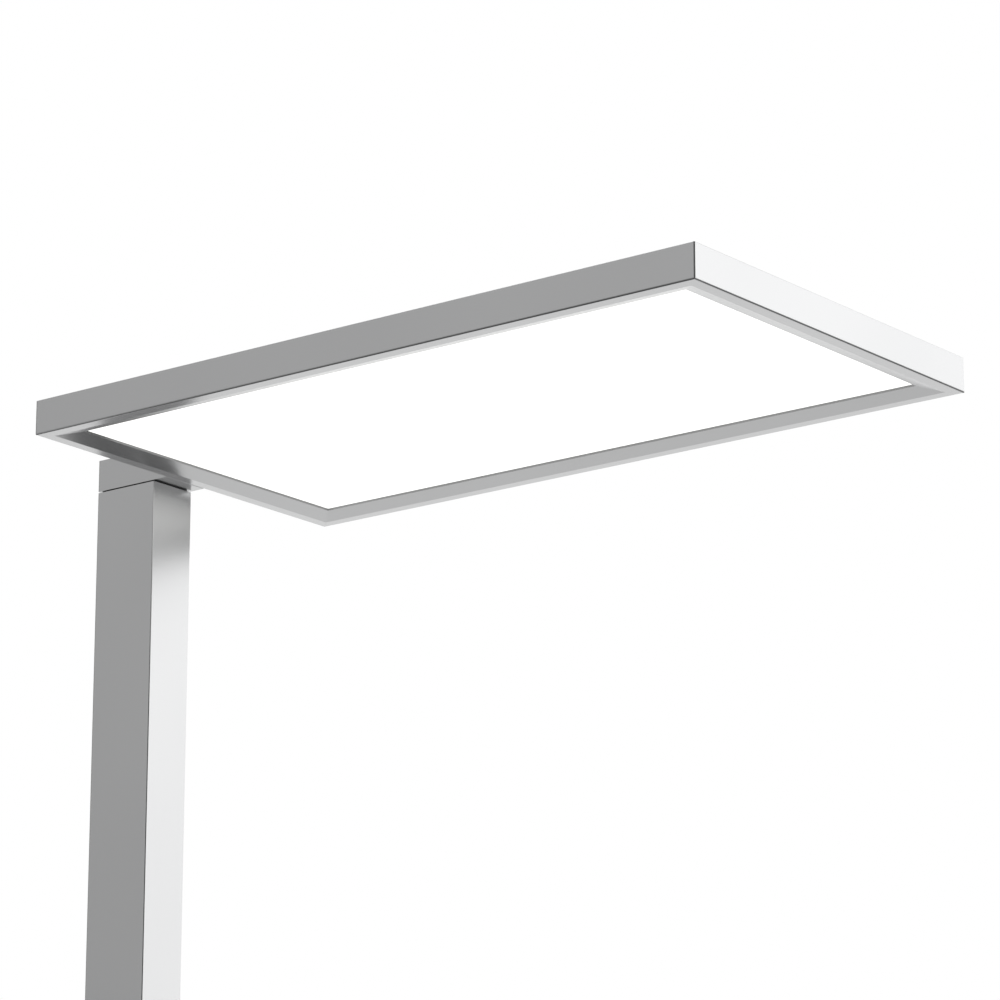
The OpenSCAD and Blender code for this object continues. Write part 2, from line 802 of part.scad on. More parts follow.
// The neck end is drilled for the neck's screws and the lead, and its inner
// ribs are cut away behind the bracket.
module frame_neck_end() {
  color(silver) difference() {
    intersection() {
      translate([head_x0, head_wid / 2, head_z]) rotate([0, 0, -90]) frame_bar(head_wid);
      head_block();
    }
    end_shelf_holes(head_x0 + edge_screw_u);
    translate([head_x0 + frame_wall, -bracket_y - 1, head_z + chassis_z])
      cube([shelf_u, 2 * bracket_y + 2, cover_z - chassis_z]);
    at_neck_screws(head_x0 + frame_wall) screw_hole(m4_pan, frame_wall + over);
    translate([head_x0 - over, 0, head_z + lead_z]) rotate([0, 90, 0])
      cylinder(r = neck_hole_r, h = frame_wall + 2 * over);
  }
}

// L-shaped keys that slide into the extrusion's channel at each mitre.
module corner_keys() {
  u = frame_wall + slip;
  color("gray") for (sx = [-1, 1], sy = [-1, 1])
    translate([head_mid, 0, head_z + channel_z + slip])
      to_corner(sx, sy) translate([u - head_len / 2, u - head_wid / 2, 0])
        linear_extrude(key_h)
          polygon([[0, 0], [key_arm, 0], [key_arm, key_t], [key_t, key_t],
                   [key_t, key_arm], [0, key_arm]]);
}

// Mirrors its children to the other end or side of the head.
module to_corner(sx, sy) {
  mirror([sx > 0 ? 1 : 0, 0, 0]) mirror([0, sy > 0 ? 1 : 0, 0]) children();
}

// ---------- Light engine ----------

// Flat plate inside the head, inset by u at the ends and v at the sides.
module head_plate(u, v, z, t) {
  translate([head_mid, 0, head_z + z])
    linear_extrude(t) square([head_len - 2 * u, head_wid - 2 * v], center = true);
}

module diffuser() {
  color("white") head_plate(guide_u, guide_u, diffuser_recess, diffuser_t);
}

module light_guide() {
  color("aliceblue") head_plate(guide_u, guide_u, guide_z, guide_t);
}

module reflector_sheet() {
  color("whitesmoke") head_plate(guide_u, guide_u, reflector_z, reflector_t);
}

// A strip stands on the ledge of each long side, its emitters at the guide's edge.
module light_strips() {
  strip_len = head_len - 2 * guide_u;
  count = floor((strip_len - 12) / strip_pitch);
  emitter_z = guide_z + guide_t / 2 - emitter[2] / 2;
  color("gold") for (s = [-1, 1])
    mirror([0, s > 0 ? 1 : 0, 0]) translate([head_mid, strip_u - head_wid / 2, head_z]) {
      translate([-strip_len / 2, 0, diffuser_recess]) cube([strip_len, strip_t, strip_h]);
      for (k = [0 : count])
        translate([(k - count / 2) * strip_pitch - emitter[0] / 2, strip_t - eps, emitter_z])
          cube([emitter[0], emitter[1] + eps, emitter[2]]);
    }
}

module at_edge_screws(z) {
  for (x = long_screw_x, s = [-1, 1])
    translate([x, s * (head_wid / 2 - edge_screw_u), head_z + z]) children();
  for (x = [head_x0 + edge_screw_u, head_x1 - edge_screw_u], s = [-1, 1])
    translate([x, s * end_screw_y, head_z + z]) children();
}

module chassis_plate() {
  inset = frame_wall + chassis_gap;
  color("lightgray") difference() {
    head_plate(inset, inset, chassis_z, chassis_t);
    at_edge_screws(chassis_top) screw_hole(m3_pan, chassis_t + over);
    at_bracket_rivets() screw_hole(m4_pan, bracket_t + chassis_t + over);
    at_board_screws() screw_hole(m3_pan, board_t + chassis_t + over);
  }
}

module chassis_screws() {
  color(steel) at_edge_screws(chassis_top) pan_screw(m3_pan, chassis_screw_len);
}

module at_boards() {
  for (s = [-1, 1])
    translate([head_mid, s * board_y, head_z + chassis_top]) children();
}

module at_board_screws() {
  at_boards() for (s = [-1, 1]) translate([s * board_screw_x, 0, board_t]) children();
}

// Two boards of emitters that light the ceiling.
module uplight_boards() {
  count = floor((board_len - 2 * board_margin) / board_pitch / 2) * 2;
  color("white") difference() {
    at_boards() {
      translate([-board_len / 2, -board_wid / 2, 0]) cube([board_len, board_wid, board_t]);
      for (k = [1 : count - 1], s = [-1, 1])
        translate([(k - count / 2) * board_pitch - led / 2, s * board_wid / 4 - led / 2, board_t - eps])
          cube([led, led, led_t + eps]);
    }
    at_board_screws() screw_hole(m3_pan, board_t + over);
  }
}

module board_screws() {
  color(steel) at_board_screws() pan_screw(m3_pan, board_t + chassis_t);
}

// Terminal block where the lead meets the boards, with wire ports and screw wells.
module head_terminal() {
  color("white") translate([terminal_x, 0, head_z + chassis_top]) difference() {
    translate([0, -terminal[1] / 2, 0]) cube(terminal);
    for (k = [-1 : 1]) {
      translate([terminal[0] - port[1], k * port_pitch, port[2]]) rotate([0, 90, 0])
        cylinder(d = port[0], h = port[1] + over);
      translate([well[2], k * port_pitch, terminal[2] - well[1]])
        cylinder(d = well[0], h = well[1] + over);
    }
  }
}

// ---------- Top cover and lens ----------

module top_cover() {
  inset = frame_wall + cover_gap;
  color(silver) difference() {
    head_plate(inset, inset, cover_z, cover_t);
    translate([head_mid, 0, head_z + cover_z - over])
      linear_extrude(cover_t + 2 * over) round_rect(window_len, window_wid, window_r);
    at_edge_screws(head_h) csk_hole(m3_csk, cover_t + over);
  }
}

module cover_screws() {
  color(steel) at_edge_screws(head_h) csk_screw(m3_csk, cover_screw_len);
}

module uplight_lens() {
  color("azure") translate([head_mid, 0, head_z + cover_z - lens_t])
    linear_extrude(lens_t) round_rect(window_len + 2 * lens_lap, window_wid + 2 * lens_lap, window_r);
}

// ---------- Driver and leads ----------

// Bent tray: its edges run in the column's grooves, and its foot reaches back
// to the rear wall, where one screw holds it.
module driver_tray() {
  x0 = groove_x - tray_t / 2;
  rear = -bore_x / 2 + slip;
  w = bore_y - 2 * slip;
  color("lightgray") difference() {
    union() {
      translate([x0, -w / 2, tray_z]) cube([tray_t, w, tray_top - tray_z]);
      translate([rear, -tray_foot_w / 2, tray_z]) cube([x0 - rear + eps, tray_foot_w, tray_t]);
      translate([rear, -tray_foot_w / 2, tray_z]) cube([tray_t, tray_foot_w, tray_foot_h]);
    }
    from_rear(-column_x / 2, tray_screw_z) screw_hole(m3_csk, column_wall + 6);
    at_driver_screws() screw_hole(m3_pan, tray_t + over + 3);
  }
}

module tray_screw() {
  color(steel) from_rear(-column_x / 2, tray_screw_z) csk_screw(m3_csk, column_wall + 4);
}

module at_driver_screws() {
  for (z = [driver_z - driver_ear / 2, driver_z + driver_len + driver_ear / 2])
    translate([-driver_d / 2 + ear_t, 0, z]) rotate([0, 90, 0]) children();
}

// Slim driver case with a screw ear at each end and a seam round its lid.
module led_driver() {
  color("white") difference() {
    union() {
      translate([0, 0, driver_z]) linear_extrude(driver_len) round_rect(driver_d, driver_w, 1.5);
      translate([-driver_d / 2, -driver_w * 0.35, driver_z - driver_ear])
        cube([ear_t, driver_w * 0.7, driver_len + 2 * driver_ear]);
    }
    at_driver_screws() screw_hole(m3_pan, 2 + over);
    for (s = [-1, 1])
      translate([driver_d / 2 - seam_x, s * driver_w / 2, driver_z + driver_len / 2])
        cube([seam[0], seam[1], driver_len + over], center = true);
  }
}

module driver_screws() {
  color(steel) at_driver_screws() pan_screw(m3_pan, ear_t + tray_t + 2);
}

// Quarter turn of a lead of diameter d, centred on the origin, from +X to +Y.
module lead_bend(d, r) {
  rotate_extrude(angle = 90) translate([r, 0]) circle(d = d);
}

// The lead hangs on the swivel's axis, from the neck to the driver.
module column_lead() {
  z0 = driver_z + driver_len;
  z1 = head_z + lead_z - bend_r;
  color("whitesmoke") translate([0, 0, z0]) cylinder(d = lead_d, h = z1 - z0);
}

module head_lead() {
  color("whitesmoke") {
    translate([bend_r, 0, head_z + lead_z - bend_r]) mirror([1, 0, 0]) rotate([90, 0, 0])
      lead_bend(lead_d, bend_r);
    translate([bend_r - eps, 0, head_z + lead_z]) rotate([0, 90, 0])
      cylinder(d = lead_d, h = terminal_x - bend_r + eps);
  }
}

// From the back of the inlet up to the driver's lower end.
module mains_lead() {
  x1 = inlet_end + bend_r;
  color("whitesmoke") {
    translate([inlet_end, 0, inlet_z + bend_r]) rotate([-90, 0, 0]) lead_bend(lead_d, bend_r);
    translate([x1, 0, inlet_z + bend_r - eps])
      cylinder(d = lead_d, h = driver_z - inlet_z - bend_r + eps);
  }
}

// From the control board back and down to the driver's upper end.
module key_lead() {
  z0 = driver_z + driver_len;
  x1 = key_lead_x + bend_r;
  color("whitesmoke") {
    translate([x1, 0, control_z]) rotate([0, 90, 0]) cylinder(d = key_lead_d, h = board_x - x1);
    translate([x1, 0, control_z - bend_r]) mirror([1, 0, 0]) rotate([90, 0, 0])
      lead_bend(key_lead_d, bend_r);
    translate([key_lead_x, 0, z0]) cylinder(d = key_lead_d, h = control_z - bend_r - z0 + eps);
  }
}

// ---------- Mains inlet ----------

// Recess outline, with its two cut corners beside the earth pin.
module recess_plan() {
  w = recess_w / 2;
  h = recess_h / 2;
  c = recess_cut;
  polygon([[-w, -h], [w, -h], [w, h - c], [w - c, h], [c - w, h], [-w, h - c]]);
}

// Drawing in (across, up) round the inlet's middle, extruded forwards from x.
module inlet_box(x, len) {
  translate([x, 0, inlet_z]) rotate([90, 0, 90]) linear_extrude(len) children();
}

// Wedge that springs out behind the column's wall: its step faces along +X.
module snap_wedge(width) {
  rotate([90, 0, 0]) linear_extrude(width, center = true)
    polygon([[0, -eps], [0, snap_h], [-snap_len, 0], [-snap_len, -eps]]);
}

module mains_inlet() {
  color("black") difference() {
    union() {
      inlet_box(inlet_face, inlet_flange)
        round_rect(inlet_w + 2 * inlet_margin, inlet_h + 2 * inlet_margin, 2);
      inlet_box(inlet_x - eps, inlet_end - inlet_x + eps) square([inlet_w, inlet_h], center = true);
      for (s = [0, 1])
        translate([inlet_x + column_wall + slip, 0, inlet_z]) mirror([0, 0, s])
          translate([0, 0, inlet_h / 2]) mirror([1, 0, 0]) snap_wedge(inlet_snap_w);
    }
    inlet_box(inlet_face - over, recess_d + over) recess_plan();
    at_pins() translate([-inlet_back / 2, 0, 0])
      cube([inlet_back + 2 * over, pin_t + 2 * seat_clear, pin_w + 2 * seat_clear], center = true);
  }
}

// Places of the line, neutral and earth pins on the inlet's back.
module at_pins() {
  for (p = [[-pin_gap / 2, -pin_shift], [pin_gap / 2, -pin_shift], [0, pin_shift]])
    translate([inlet_end, p[0], inlet_z + p[1]]) children();
}

// Flat pin from x = tip to the inlet's back.
module pin(y, z, tip) {
  translate([tip, y - pin_t / 2, inlet_z + z - pin_w / 2]) cube([inlet_end - tip, pin_t, pin_w]);
}

// The earth pin leads the other two.
module inlet_pins() {
  color("silver") {
    for (s = [-1, 1]) pin(s * pin_gap / 2, -pin_shift, pin_tip);
    pin(0, pin_shift, pin_tip - earth_lead);
  }
}

// ---------- Control panel ----------

// Round-cornered box along +X from x, dz above the panel's middle.
module panel_box(x, len, w, h, r, dz = 0) {
  translate([x, 0, control_z + dz]) rotate([90, 0, 90]) linear_extrude(len) round_rect(w, h, r);
}

module control_panel() {
  color("dimgray") difference() {
    union() {
      panel_box(panel_x, panel_flange, panel_body[1] + 2 * panel_margin,
                panel_body[2] + 2 * panel_margin, panel_r);
      panel_box(board_x, panel_body[0] + eps, panel_body[1], panel_body[2], 1);
      for (s = [0, 1])
        translate([panel_x - column_wall - slip, 0, control_z]) mirror([0, 0, s])
          translate([0, 0, panel_body[2] / 2]) snap_wedge(panel_snap_w);
    }
    panel_box(board_x - over, key_seat_x - board_x + over, cavity_w, cavity_h, 1);
    for (s = [-1, 1])
      panel_box(key_seat_x - over, panel_face + 2 * over, key_w + 2 * key_play,
                key_len + 2 * key_play, key_r + key_play, s * key_pitch / 2);
  }
}

// Board with a push switch behind each key; the switch's stem slides in its bore.
module control_board() {
  color("darkgreen") {
    panel_box(board_x, board_depth, cavity_w - 2 * slip, cavity_h - 2 * slip, 1);
    for (s = [-1, 1]) translate([switch_x, 0, control_z + s * key_pitch / 2]) difference() {
      translate([-eps, -switch_size[1] / 2, -switch_size[2] / 2])
        cube([switch_size[0] + eps, switch_size[1], switch_size[2]]);
      translate([switch_floor, 0, 0]) rotate([0, 90, 0])
        cylinder(r = stem_r + run_clear, h = switch_size[0]);
    }
  }
}

// Key cap through the panel's face, with a flange that stops it from behind.
module key_cap(s) {
  color("gray") {
    translate([key_seat_x - eps, 0, control_z + s * key_pitch / 2]) rotate([90, 0, 90])
      bevelled_plate(key_w, key_len, key_r, panel_face + key_lift + eps, key_bevel);
    panel_box(key_seat_x - key_flange, key_flange, key_w + 2 * key_rim, key_len + 2 * key_rim,
              key_r, s * key_pitch / 2);
  }
}

module key_stem(s) {
  color("black") translate([stem_x0, 0, control_z + s * key_pitch / 2]) rotate([0, 90, 0])
    cylinder(r = stem_r, h = stem_x1 - stem_x0);
}

module upper_key() { key_cap(1); }

module lower_key() { key_cap(-1); }

module upper_stem() { key_stem(1); }

module lower_stem() { key_stem(-1); }

base_mat();
base_plate();
base_screws();
foot_block();
foot_screws();
column_profile();
bearing_block();
bearing_screws();
swivel_bush();
thrust_washer();
pressure_washer();
driver_tray();
tray_screw();
led_driver();
driver_screws();
mains_inlet();
inlet_pins();
mains_lead();
column_lead();
key_lead();
control_panel();
control_board();
upper_key();
lower_key();
upper_stem();
lower_stem();
swivel_spigot();
stop_pin();
disc_spring();
lock_nut();
neck_block();
spigot_screws();
neck_cap();
cap_screws();
neck_screws();
neck_bracket();
bracket_rivets();
head_lead();
head_terminal();
frame_near();
frame_far();
frame_tip();
frame_neck_end();
corner_keys();
diffuser();
light_guide();
reflector_sheet();
light_strips();
chassis_plate();
chassis_screws();
uplight_boards();
board_screws();
uplight_lens();
top_cover();
cover_screws();
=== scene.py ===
"""Looks of a slim office floor lamp, built round its packed construction.

The construction gives every piece its shape and its place. This script gives each one its
finish, adds the small forms that only the eye needs, and sets a pale studio and a camera.
"""

import logging
import math
from dataclasses import dataclass
from enum import Enum

import bmesh
import bpy
import numpy as np
from mathutils import Matrix, Vector


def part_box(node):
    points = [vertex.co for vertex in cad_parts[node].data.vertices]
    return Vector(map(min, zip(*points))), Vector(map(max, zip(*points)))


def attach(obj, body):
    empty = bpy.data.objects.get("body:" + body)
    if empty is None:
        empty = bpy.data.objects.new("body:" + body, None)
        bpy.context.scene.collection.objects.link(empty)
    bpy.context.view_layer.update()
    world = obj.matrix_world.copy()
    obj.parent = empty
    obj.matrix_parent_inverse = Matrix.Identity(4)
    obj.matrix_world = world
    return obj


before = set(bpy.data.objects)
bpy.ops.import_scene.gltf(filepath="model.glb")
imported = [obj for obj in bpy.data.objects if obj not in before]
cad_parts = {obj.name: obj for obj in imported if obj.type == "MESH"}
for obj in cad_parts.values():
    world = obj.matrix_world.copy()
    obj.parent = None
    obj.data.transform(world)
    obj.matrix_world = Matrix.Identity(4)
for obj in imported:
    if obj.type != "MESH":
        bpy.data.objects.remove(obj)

LOG = logging.getLogger("floor_lamp")
MM = 0.001
WAVE_SCALE = 0.3141592  # the wave texture's scale for one ridge to the metre, 2 * pi / 20
MERGE_DIST = 0.001 * MM  # points nearer than this are one point
ACRYLIC_IOR = 1.49
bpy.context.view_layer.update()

Pair = tuple[float, float]
Triple = tuple[float, float, float]
Socket = bpy.types.NodeSocket
WHITE: Triple = (1.0, 1.0, 1.0)


class Along(Enum):
    """The way an extrusion was drawn, which its fine lines follow."""

    X = (0.02, 1.0, 1.0)
    Y = (1.0, 0.02, 1.0)
    Z = (1.0, 1.0, 0.02)


# ---------- Nodes ----------


class Nodes:
    """A node tree, drawn by plain calls that each give the output of what they add."""

    def __init__(self, tree: bpy.types.NodeTree) -> None:
        """Starts on a tree.

        Args:
            tree: The node tree of a material or of the world.
        """
        self.nodes = tree.nodes
        self.links = tree.links

    def put(self, value: float | Triple | Socket, socket: Socket) -> None:
        """Joins a value or another node's output to a socket."""
        if isinstance(value, bpy.types.NodeSocket):
            self.links.new(value, socket)
        elif isinstance(value, tuple) and socket.type == "RGBA":
            socket.default_value = (*value, 1.0)
        else:
            socket.default_value = value

    def split(self, vector: Socket) -> tuple[Socket, Socket, Socket]:
        """Gives a vector's three parts."""
        node = self.nodes.new("ShaderNodeSeparateXYZ")
        self.put(vector, node.inputs[0])
        return tuple(node.outputs)

    def spread(self, value: Socket, low: float, high: float,
               start: float = 0.0, end: float = 1.0) -> Socket:
        """Carries a value's stretch from start to end over to low to high.

        Args:
            value: The value that is read.
            low: What start becomes.
            high: What end becomes.
            start: The value that becomes low.
            end: The value that becomes high.

        Returns:
            The result, clamped.
        """
        node = self.nodes.new("ShaderNodeMapRange")
        numbers = {"From Min": start, "From Max": end, "To Min": low, "To Max": high}
        for name, number in numbers.items():
            self.put(number, node.inputs[name])
        self.put(value, node.inputs["Value"])
        return node.outputs["Result"]

    def sum(self, first: Socket | float, second: Socket | float, operation: str = "ADD") -> Socket:
        """Gives a sum, or the result of another Math operation."""
        node = self.nodes.new("ShaderNodeMath")
        node.operation = operation
        self.put(first, node.inputs[0])
        self.put(second, node.inputs[1])
        return node.outputs[0]

    def distance(self, x: Socket, y: Socket) -> Socket:
        """Gives the root of x squared plus y squared."""
        squares = self.sum(self.sum(x, x, "MULTIPLY"), self.sum(y, y, "MULTIPLY"))
        return self.sum(squares, 0.5, "POWER")

    def blend(self, share: Socket, first: Triple | Socket, second: Triple | Socket) -> Socket:
        """Gives a colour between two, by a share from 0 to 1."""
        node = self.nodes.new("ShaderNodeMix")
        node.data_type = "RGBA"
        self.put(share, node.inputs["Factor"])
        self.put(first, node.inputs[6])
        self.put(second, node.inputs[7])
        return node.outputs[2]

    def ramp(self, share: Socket, reach: float, stops: tuple[Pair, ...]) -> Socket:
        """Gives a grey by a value, with soft changes between its stops.

        Args:
            share: The value as a share from 0 to 1 of the way from -reach to reach.
            reach: How far the value goes either way.
            stops: Pairs of a value and its tone.

        Returns:
            The tone, as a colour.
        """
        node = self.nodes.new("ShaderNodeValToRGB")
        self.put(share, node.inputs[0])
        node.color_ramp.interpolation = "EASE"
        elements = node.color_ramp.elements
        while len(elements) < len(stops):
            elements.new(0.5)
        for element, (value, tone) in zip(elements, stops):
            element.position = (value + reach) / (2.0 * reach)
            element.color = (tone, tone, tone, 1.0)
        return node.outputs[0]

    def rays(self, kind: str) -> Socket:
        """Gives 1 for rays of a kind, such as Glossy, and 0 for others."""
        return self.nodes.new("ShaderNodeLightPath").outputs[f"Is {kind} Ray"]

    def seen(self) -> Socket:
        """Gives 1 for what the camera sees, also through clear pieces, and 0 otherwise."""
        return self.sum(self.rays("Camera"), self.rays("Transmission"), "MAXIMUM")

    def mix(self, share: Socket, first: Socket, second: Socket) -> Socket:
        """Mixes two shaders by a share from 0 to 1."""
        node = self.nodes.new("ShaderNodeMixShader")
        for value, socket in zip((share, first, second), node.inputs):
            self.put(value, socket)
        return node.outputs[0]

    def glow(self, kind: str, colour: Triple | Socket, strength: float | Socket) -> Socket:
        """Gives an Emission or a Background of a colour and a strength."""
        node = self.nodes.new(f"ShaderNode{kind}")
        self.put(colour, node.inputs["Color"])
        self.put(strength, node.inputs["Strength"])
        return node.outputs[0]


class Sheet(Nodes):
    """One material's nodes, joined to its own Principled shader."""

    def __init__(self, name: str) -> None:
        """Starts a material that holds one Principled shader.

        Args:
            name: The material's name.
        """
        self.material = bpy.data.materials.new(name)
        self.material.use_nodes = True
        super().__init__(self.material.node_tree)
        self.shader = self.nodes["Principled BSDF"]
        self.place = self.nodes.new("ShaderNodeTexCoord").outputs["Object"]

    def set(self, **values: float | Triple | Socket) -> None:
        """Sets the shader's sockets, named in lower case with underscores."""
        names = {s.name.lower().replace(" ", "_"): s for s in self.shader.inputs}
        for name, value in values.items():
            self.put(value, names[name])

    def show(self, shader: Socket) -> None:
        """Makes another shader the material's surface."""
        self.put(shader, self.nodes["Material Output"].inputs["Surface"])

    def coords(self, scale: Triple = (1.0, 1.0, 1.0), turn: Triple = (0.0, 0.0, 0.0)) -> Socket:
        """Gives the object's coordinates, scaled and turned.

        Args:
            scale: How much each axis is stretched.
            turn: Turn about each axis, in degrees.

        Returns:
            The vector output.
        """
        node = self.nodes.new("ShaderNodeMapping")
        self.put(self.place, node.inputs["Vector"])
        node.inputs["Scale"].default_value = scale
        node.inputs["Rotation"].default_value = [math.radians(a) for a in turn]
        return node.outputs["Vector"]

    def noise(self, vector: Socket, scale: float, detail: float = 2.0) -> Socket:
        """Gives soft noise with `scale` swells to the metre, from 0 to 1."""
        node = self.nodes.new("ShaderNodeTexNoise")
        self.put(vector, node.inputs["Vector"])
        self.put(scale, node.inputs["Scale"])
        self.put(detail, node.inputs["Detail"])
        return node.outputs["Fac"]

    def cells(self, vector: Socket, scale: float) -> Socket:
        """Gives the distance to the nearest of `scale` scattered points to the metre."""
        node = self.nodes.new("ShaderNodeTexVoronoi")
        self.put(vector, node.inputs["Vector"])
        self.put(scale, node.inputs["Scale"])
        return node.outputs["Distance"]

    def ridges(self, vector: Socket, scale: float, axis: str) -> Socket:
        """Gives sine ridges across one axis, `scale` to the metre."""
        node = self.nodes.new("ShaderNodeTexWave")
        node.bands_direction = axis
        self.put(vector, node.inputs["Vector"])
        self.put(scale * WAVE_SCALE, node.inputs["Scale"])
        return node.outputs["Fac"]

    def relief(self, height: Socket, depth: float, strength: float = 1.0) -> None:
        """Raises the surface by a height from 0 to 1, `depth` metres deep."""
        node = self.nodes.new("ShaderNodeBump")
        self.put(strength, node.inputs["Strength"])
        self.put(depth, node.inputs["Distance"])
        self.put(height, node.inputs["Height"])
        self.put(node.outputs["Normal"], self.shader.inputs["Normal"])


def toned(colour: Triple, factor: float) -> Triple:
    """Gives a colour made darker or lighter by a factor."""
    return tuple(part * factor for part in colour)


# ---------- Finishes ----------


@dataclass(frozen=True)
class Finish:
    """A surface finish, kept as numbers and drawn as a material when it is first used.

    Attributes:
        name: The finish's name.
        slot: The record's material slot that it belongs to; not used here.
    """

    name: str
    slot: str

    def draw(self, sheet: Sheet) -> None:
        """Adds the finish's nodes to a sheet."""
        raise NotImplementedError

    def material(self) -> bpy.types.Material:
        """Gives the finish's material, drawn on its first use."""
        label = self.name + "_look"
        found = bpy.data.materials.get(label)
        if found is None:
            sheet = Sheet(label)
            self.draw(sheet)
            found = sheet.material
        return found


@dataclass(frozen=True)
class SatinAluminium(Finish):
    """Extruded aluminium, etched satin and anodised in its own colour.

    The tone drifts a little in broad clouds, faint die lines run with the extrusion, and the
    etch leaves a fine grain in the gloss.

    Attributes:
        along: The way the bar was extruded.
        pale: Its paler tone.
        dull: Its duller tone.
        gloss: Its middle roughness.
        grain: How much the lines and the etch each add to the least roughness.
        clouds: Clouds to the metre.
        lines: Die lines to the metre.
        etch: Grains to the metre.
        depth: How deep the lines and the grains go, in metres.
        shares: The shares of clouds and lines in the tone, and of lines and grains in the relief.
        core: The stretch of noise that changes the tone.
    """

    along: Along = Along.X
    pale: Triple = (0.835, 0.838, 0.842)
    dull: Triple = (0.805, 0.808, 0.813)
    gloss: float = 0.25
    grain: float = 0.035
    clouds: float = 7.0
    lines: float = 950.0
    etch: float = 1500.0
    depth: float = 0.003 * MM
    shares: Pair = (0.6, 0.4)
    core: Pair = (0.3, 0.7)

    def draw(self, sheet: Sheet) -> None:
        """Adds clouds, die lines and etch."""
        clouds = sheet.noise(sheet.coords(), self.clouds, detail=1.0)
        lines = sheet.noise(sheet.coords(self.along.value), self.lines, detail=3.0)
        etch = sheet.noise(sheet.coords(), self.etch)
        more, less = self.shares
        tone = sheet.sum(sheet.spread(clouds, 0.0, more, *self.core),
                         sheet.spread(lines, 0.0, less, *self.core))
        sheet.set(base_color=sheet.blend(tone, self.dull, self.pale), metallic=1.0)
        worn = sheet.sum(sheet.spread(lines, 0.0, self.grain), sheet.spread(etch, 0.0, self.grain))
        sheet.set(roughness=sheet.sum(worn, self.gloss - self.grain))
        height = sheet.sum(sheet.spread(lines, 0.0, more), sheet.spread(etch, 0.0, less))
        sheet.relief(height, self.depth)


@dataclass(frozen=True)
class MilledAluminium(Finish):
    """Plain milled or sheared aluminium, with the arcs of the cutter across it.

    Attributes:
        colour: Its colour.
        pitch: From one cutter mark to the next, in metres.
        tilt: How the marks lie, as turns in degrees.
        drift: Swells of tone to the metre.
        gloss: The roughness in a mark and beside it.
        depth: How deep a mark is, in metres.
        dark: The factor of its darker tone.
        handling: How much handling adds to the roughness.
    """

    colour: Triple = (0.70, 0.705, 0.71)
    pitch: float = 0.8 * MM
    tilt: Triple = (0.0, 35.0, 20.0)
    drift: float = 60.0
    gloss: Pair = (0.30, 0.38)
    depth: float = 0.006 * MM
    dark: float = 0.9
    handling: float = 0.08

    def draw(self, sheet: Sheet) -> None:
        """Adds cutter marks and handling marks."""
        drift = sheet.noise(sheet.coords(), self.drift)
        marks = sheet.ridges(sheet.coords(turn=self.tilt), 1.0 / self.pitch, "X")
        dark = toned(self.colour, self.dark)
        sheet.set(base_color=sheet.blend(drift, dark, self.colour), metallic=1.0)
        handled = sheet.spread(drift, 0.0, self.handling)
        sheet.set(roughness=sheet.sum(sheet.spread(marks, *self.gloss), handled))
        sheet.relief(marks, self.depth)


@dataclass(frozen=True)
class PlatedSteel(Finish):
    """Steel with a thin bright plate: even, with a faint cloud of passivation.

    Attributes:
        colour: The plate's colour.
        tint: The passivation's colour.
        gloss: Its least roughness.
        clouds: Clouds to the metre.
        pits: Spangles to the metre.
        depth: How deep the spangle is, in metres.
        core: The stretch of noise that changes the tone.
        dulling: How much the spangle adds to the roughness.
    """

    colour: Triple = (0.62, 0.63, 0.65)
    tint: Triple = (0.60, 0.62, 0.58)
    gloss: float = 0.28
    clouds: float = 90.0
    pits: float = 900.0
    depth: float = 0.004 * MM
    core: Pair = (0.35, 0.65)
    dulling: float = 0.08

    def draw(self, sheet: Sheet) -> None:
        """Adds spangle and clouds."""
        clouds = sheet.spread(sheet.noise(sheet.coords(), self.clouds), 0.0, 1.0, *self.core)
        pits = sheet.cells(sheet.coords(), self.pits)
        sheet.set(base_color=sheet.blend(clouds, self.tint, self.colour), metallic=1.0)
        sheet.set(roughness=sheet.sum(sheet.spread(pits, 0.0, self.dulling), self.gloss))
        sheet.relief(pits, self.depth)


@dataclass(frozen=True)
class SinteredBronze(Finish):
    """Oiled sintered bronze: matt, with open pores.

    Attributes:
        colour: Its colour where it is dry.
        pores: Pores to the metre.
        oil: Stains to the metre.
        gloss: The roughness in a stain and beside it.
        depth: How deep a pore is, in metres.
        rim: From a pore's floor to its rim, as distances between pores.
        dark: The factor of an oily tone.
    """

    colour: Triple = (0.50, 0.31, 0.12)
    pores: float = 2600.0
    oil: float = 120.0
    gloss: Pair = (0.35, 0.5)
    depth: float = 0.01 * MM
    rim: Pair = (0.1, 0.5)
    dark: float = 0.6

    def draw(self, sheet: Sheet) -> None:
        """Adds pores and darker oil."""
        pores = sheet.spread(sheet.cells(sheet.coords(), self.pores), 0.0, 1.0, *self.rim)
        oil = sheet.noise(sheet.coords(), self.oil)
        dark = toned(self.colour, self.dark)
        sheet.set(base_color=sheet.blend(oil, dark, self.colour), metallic=1.0)
        sheet.set(roughness=sheet.spread(oil, *self.gloss))
        sheet.relief(pores, self.depth)


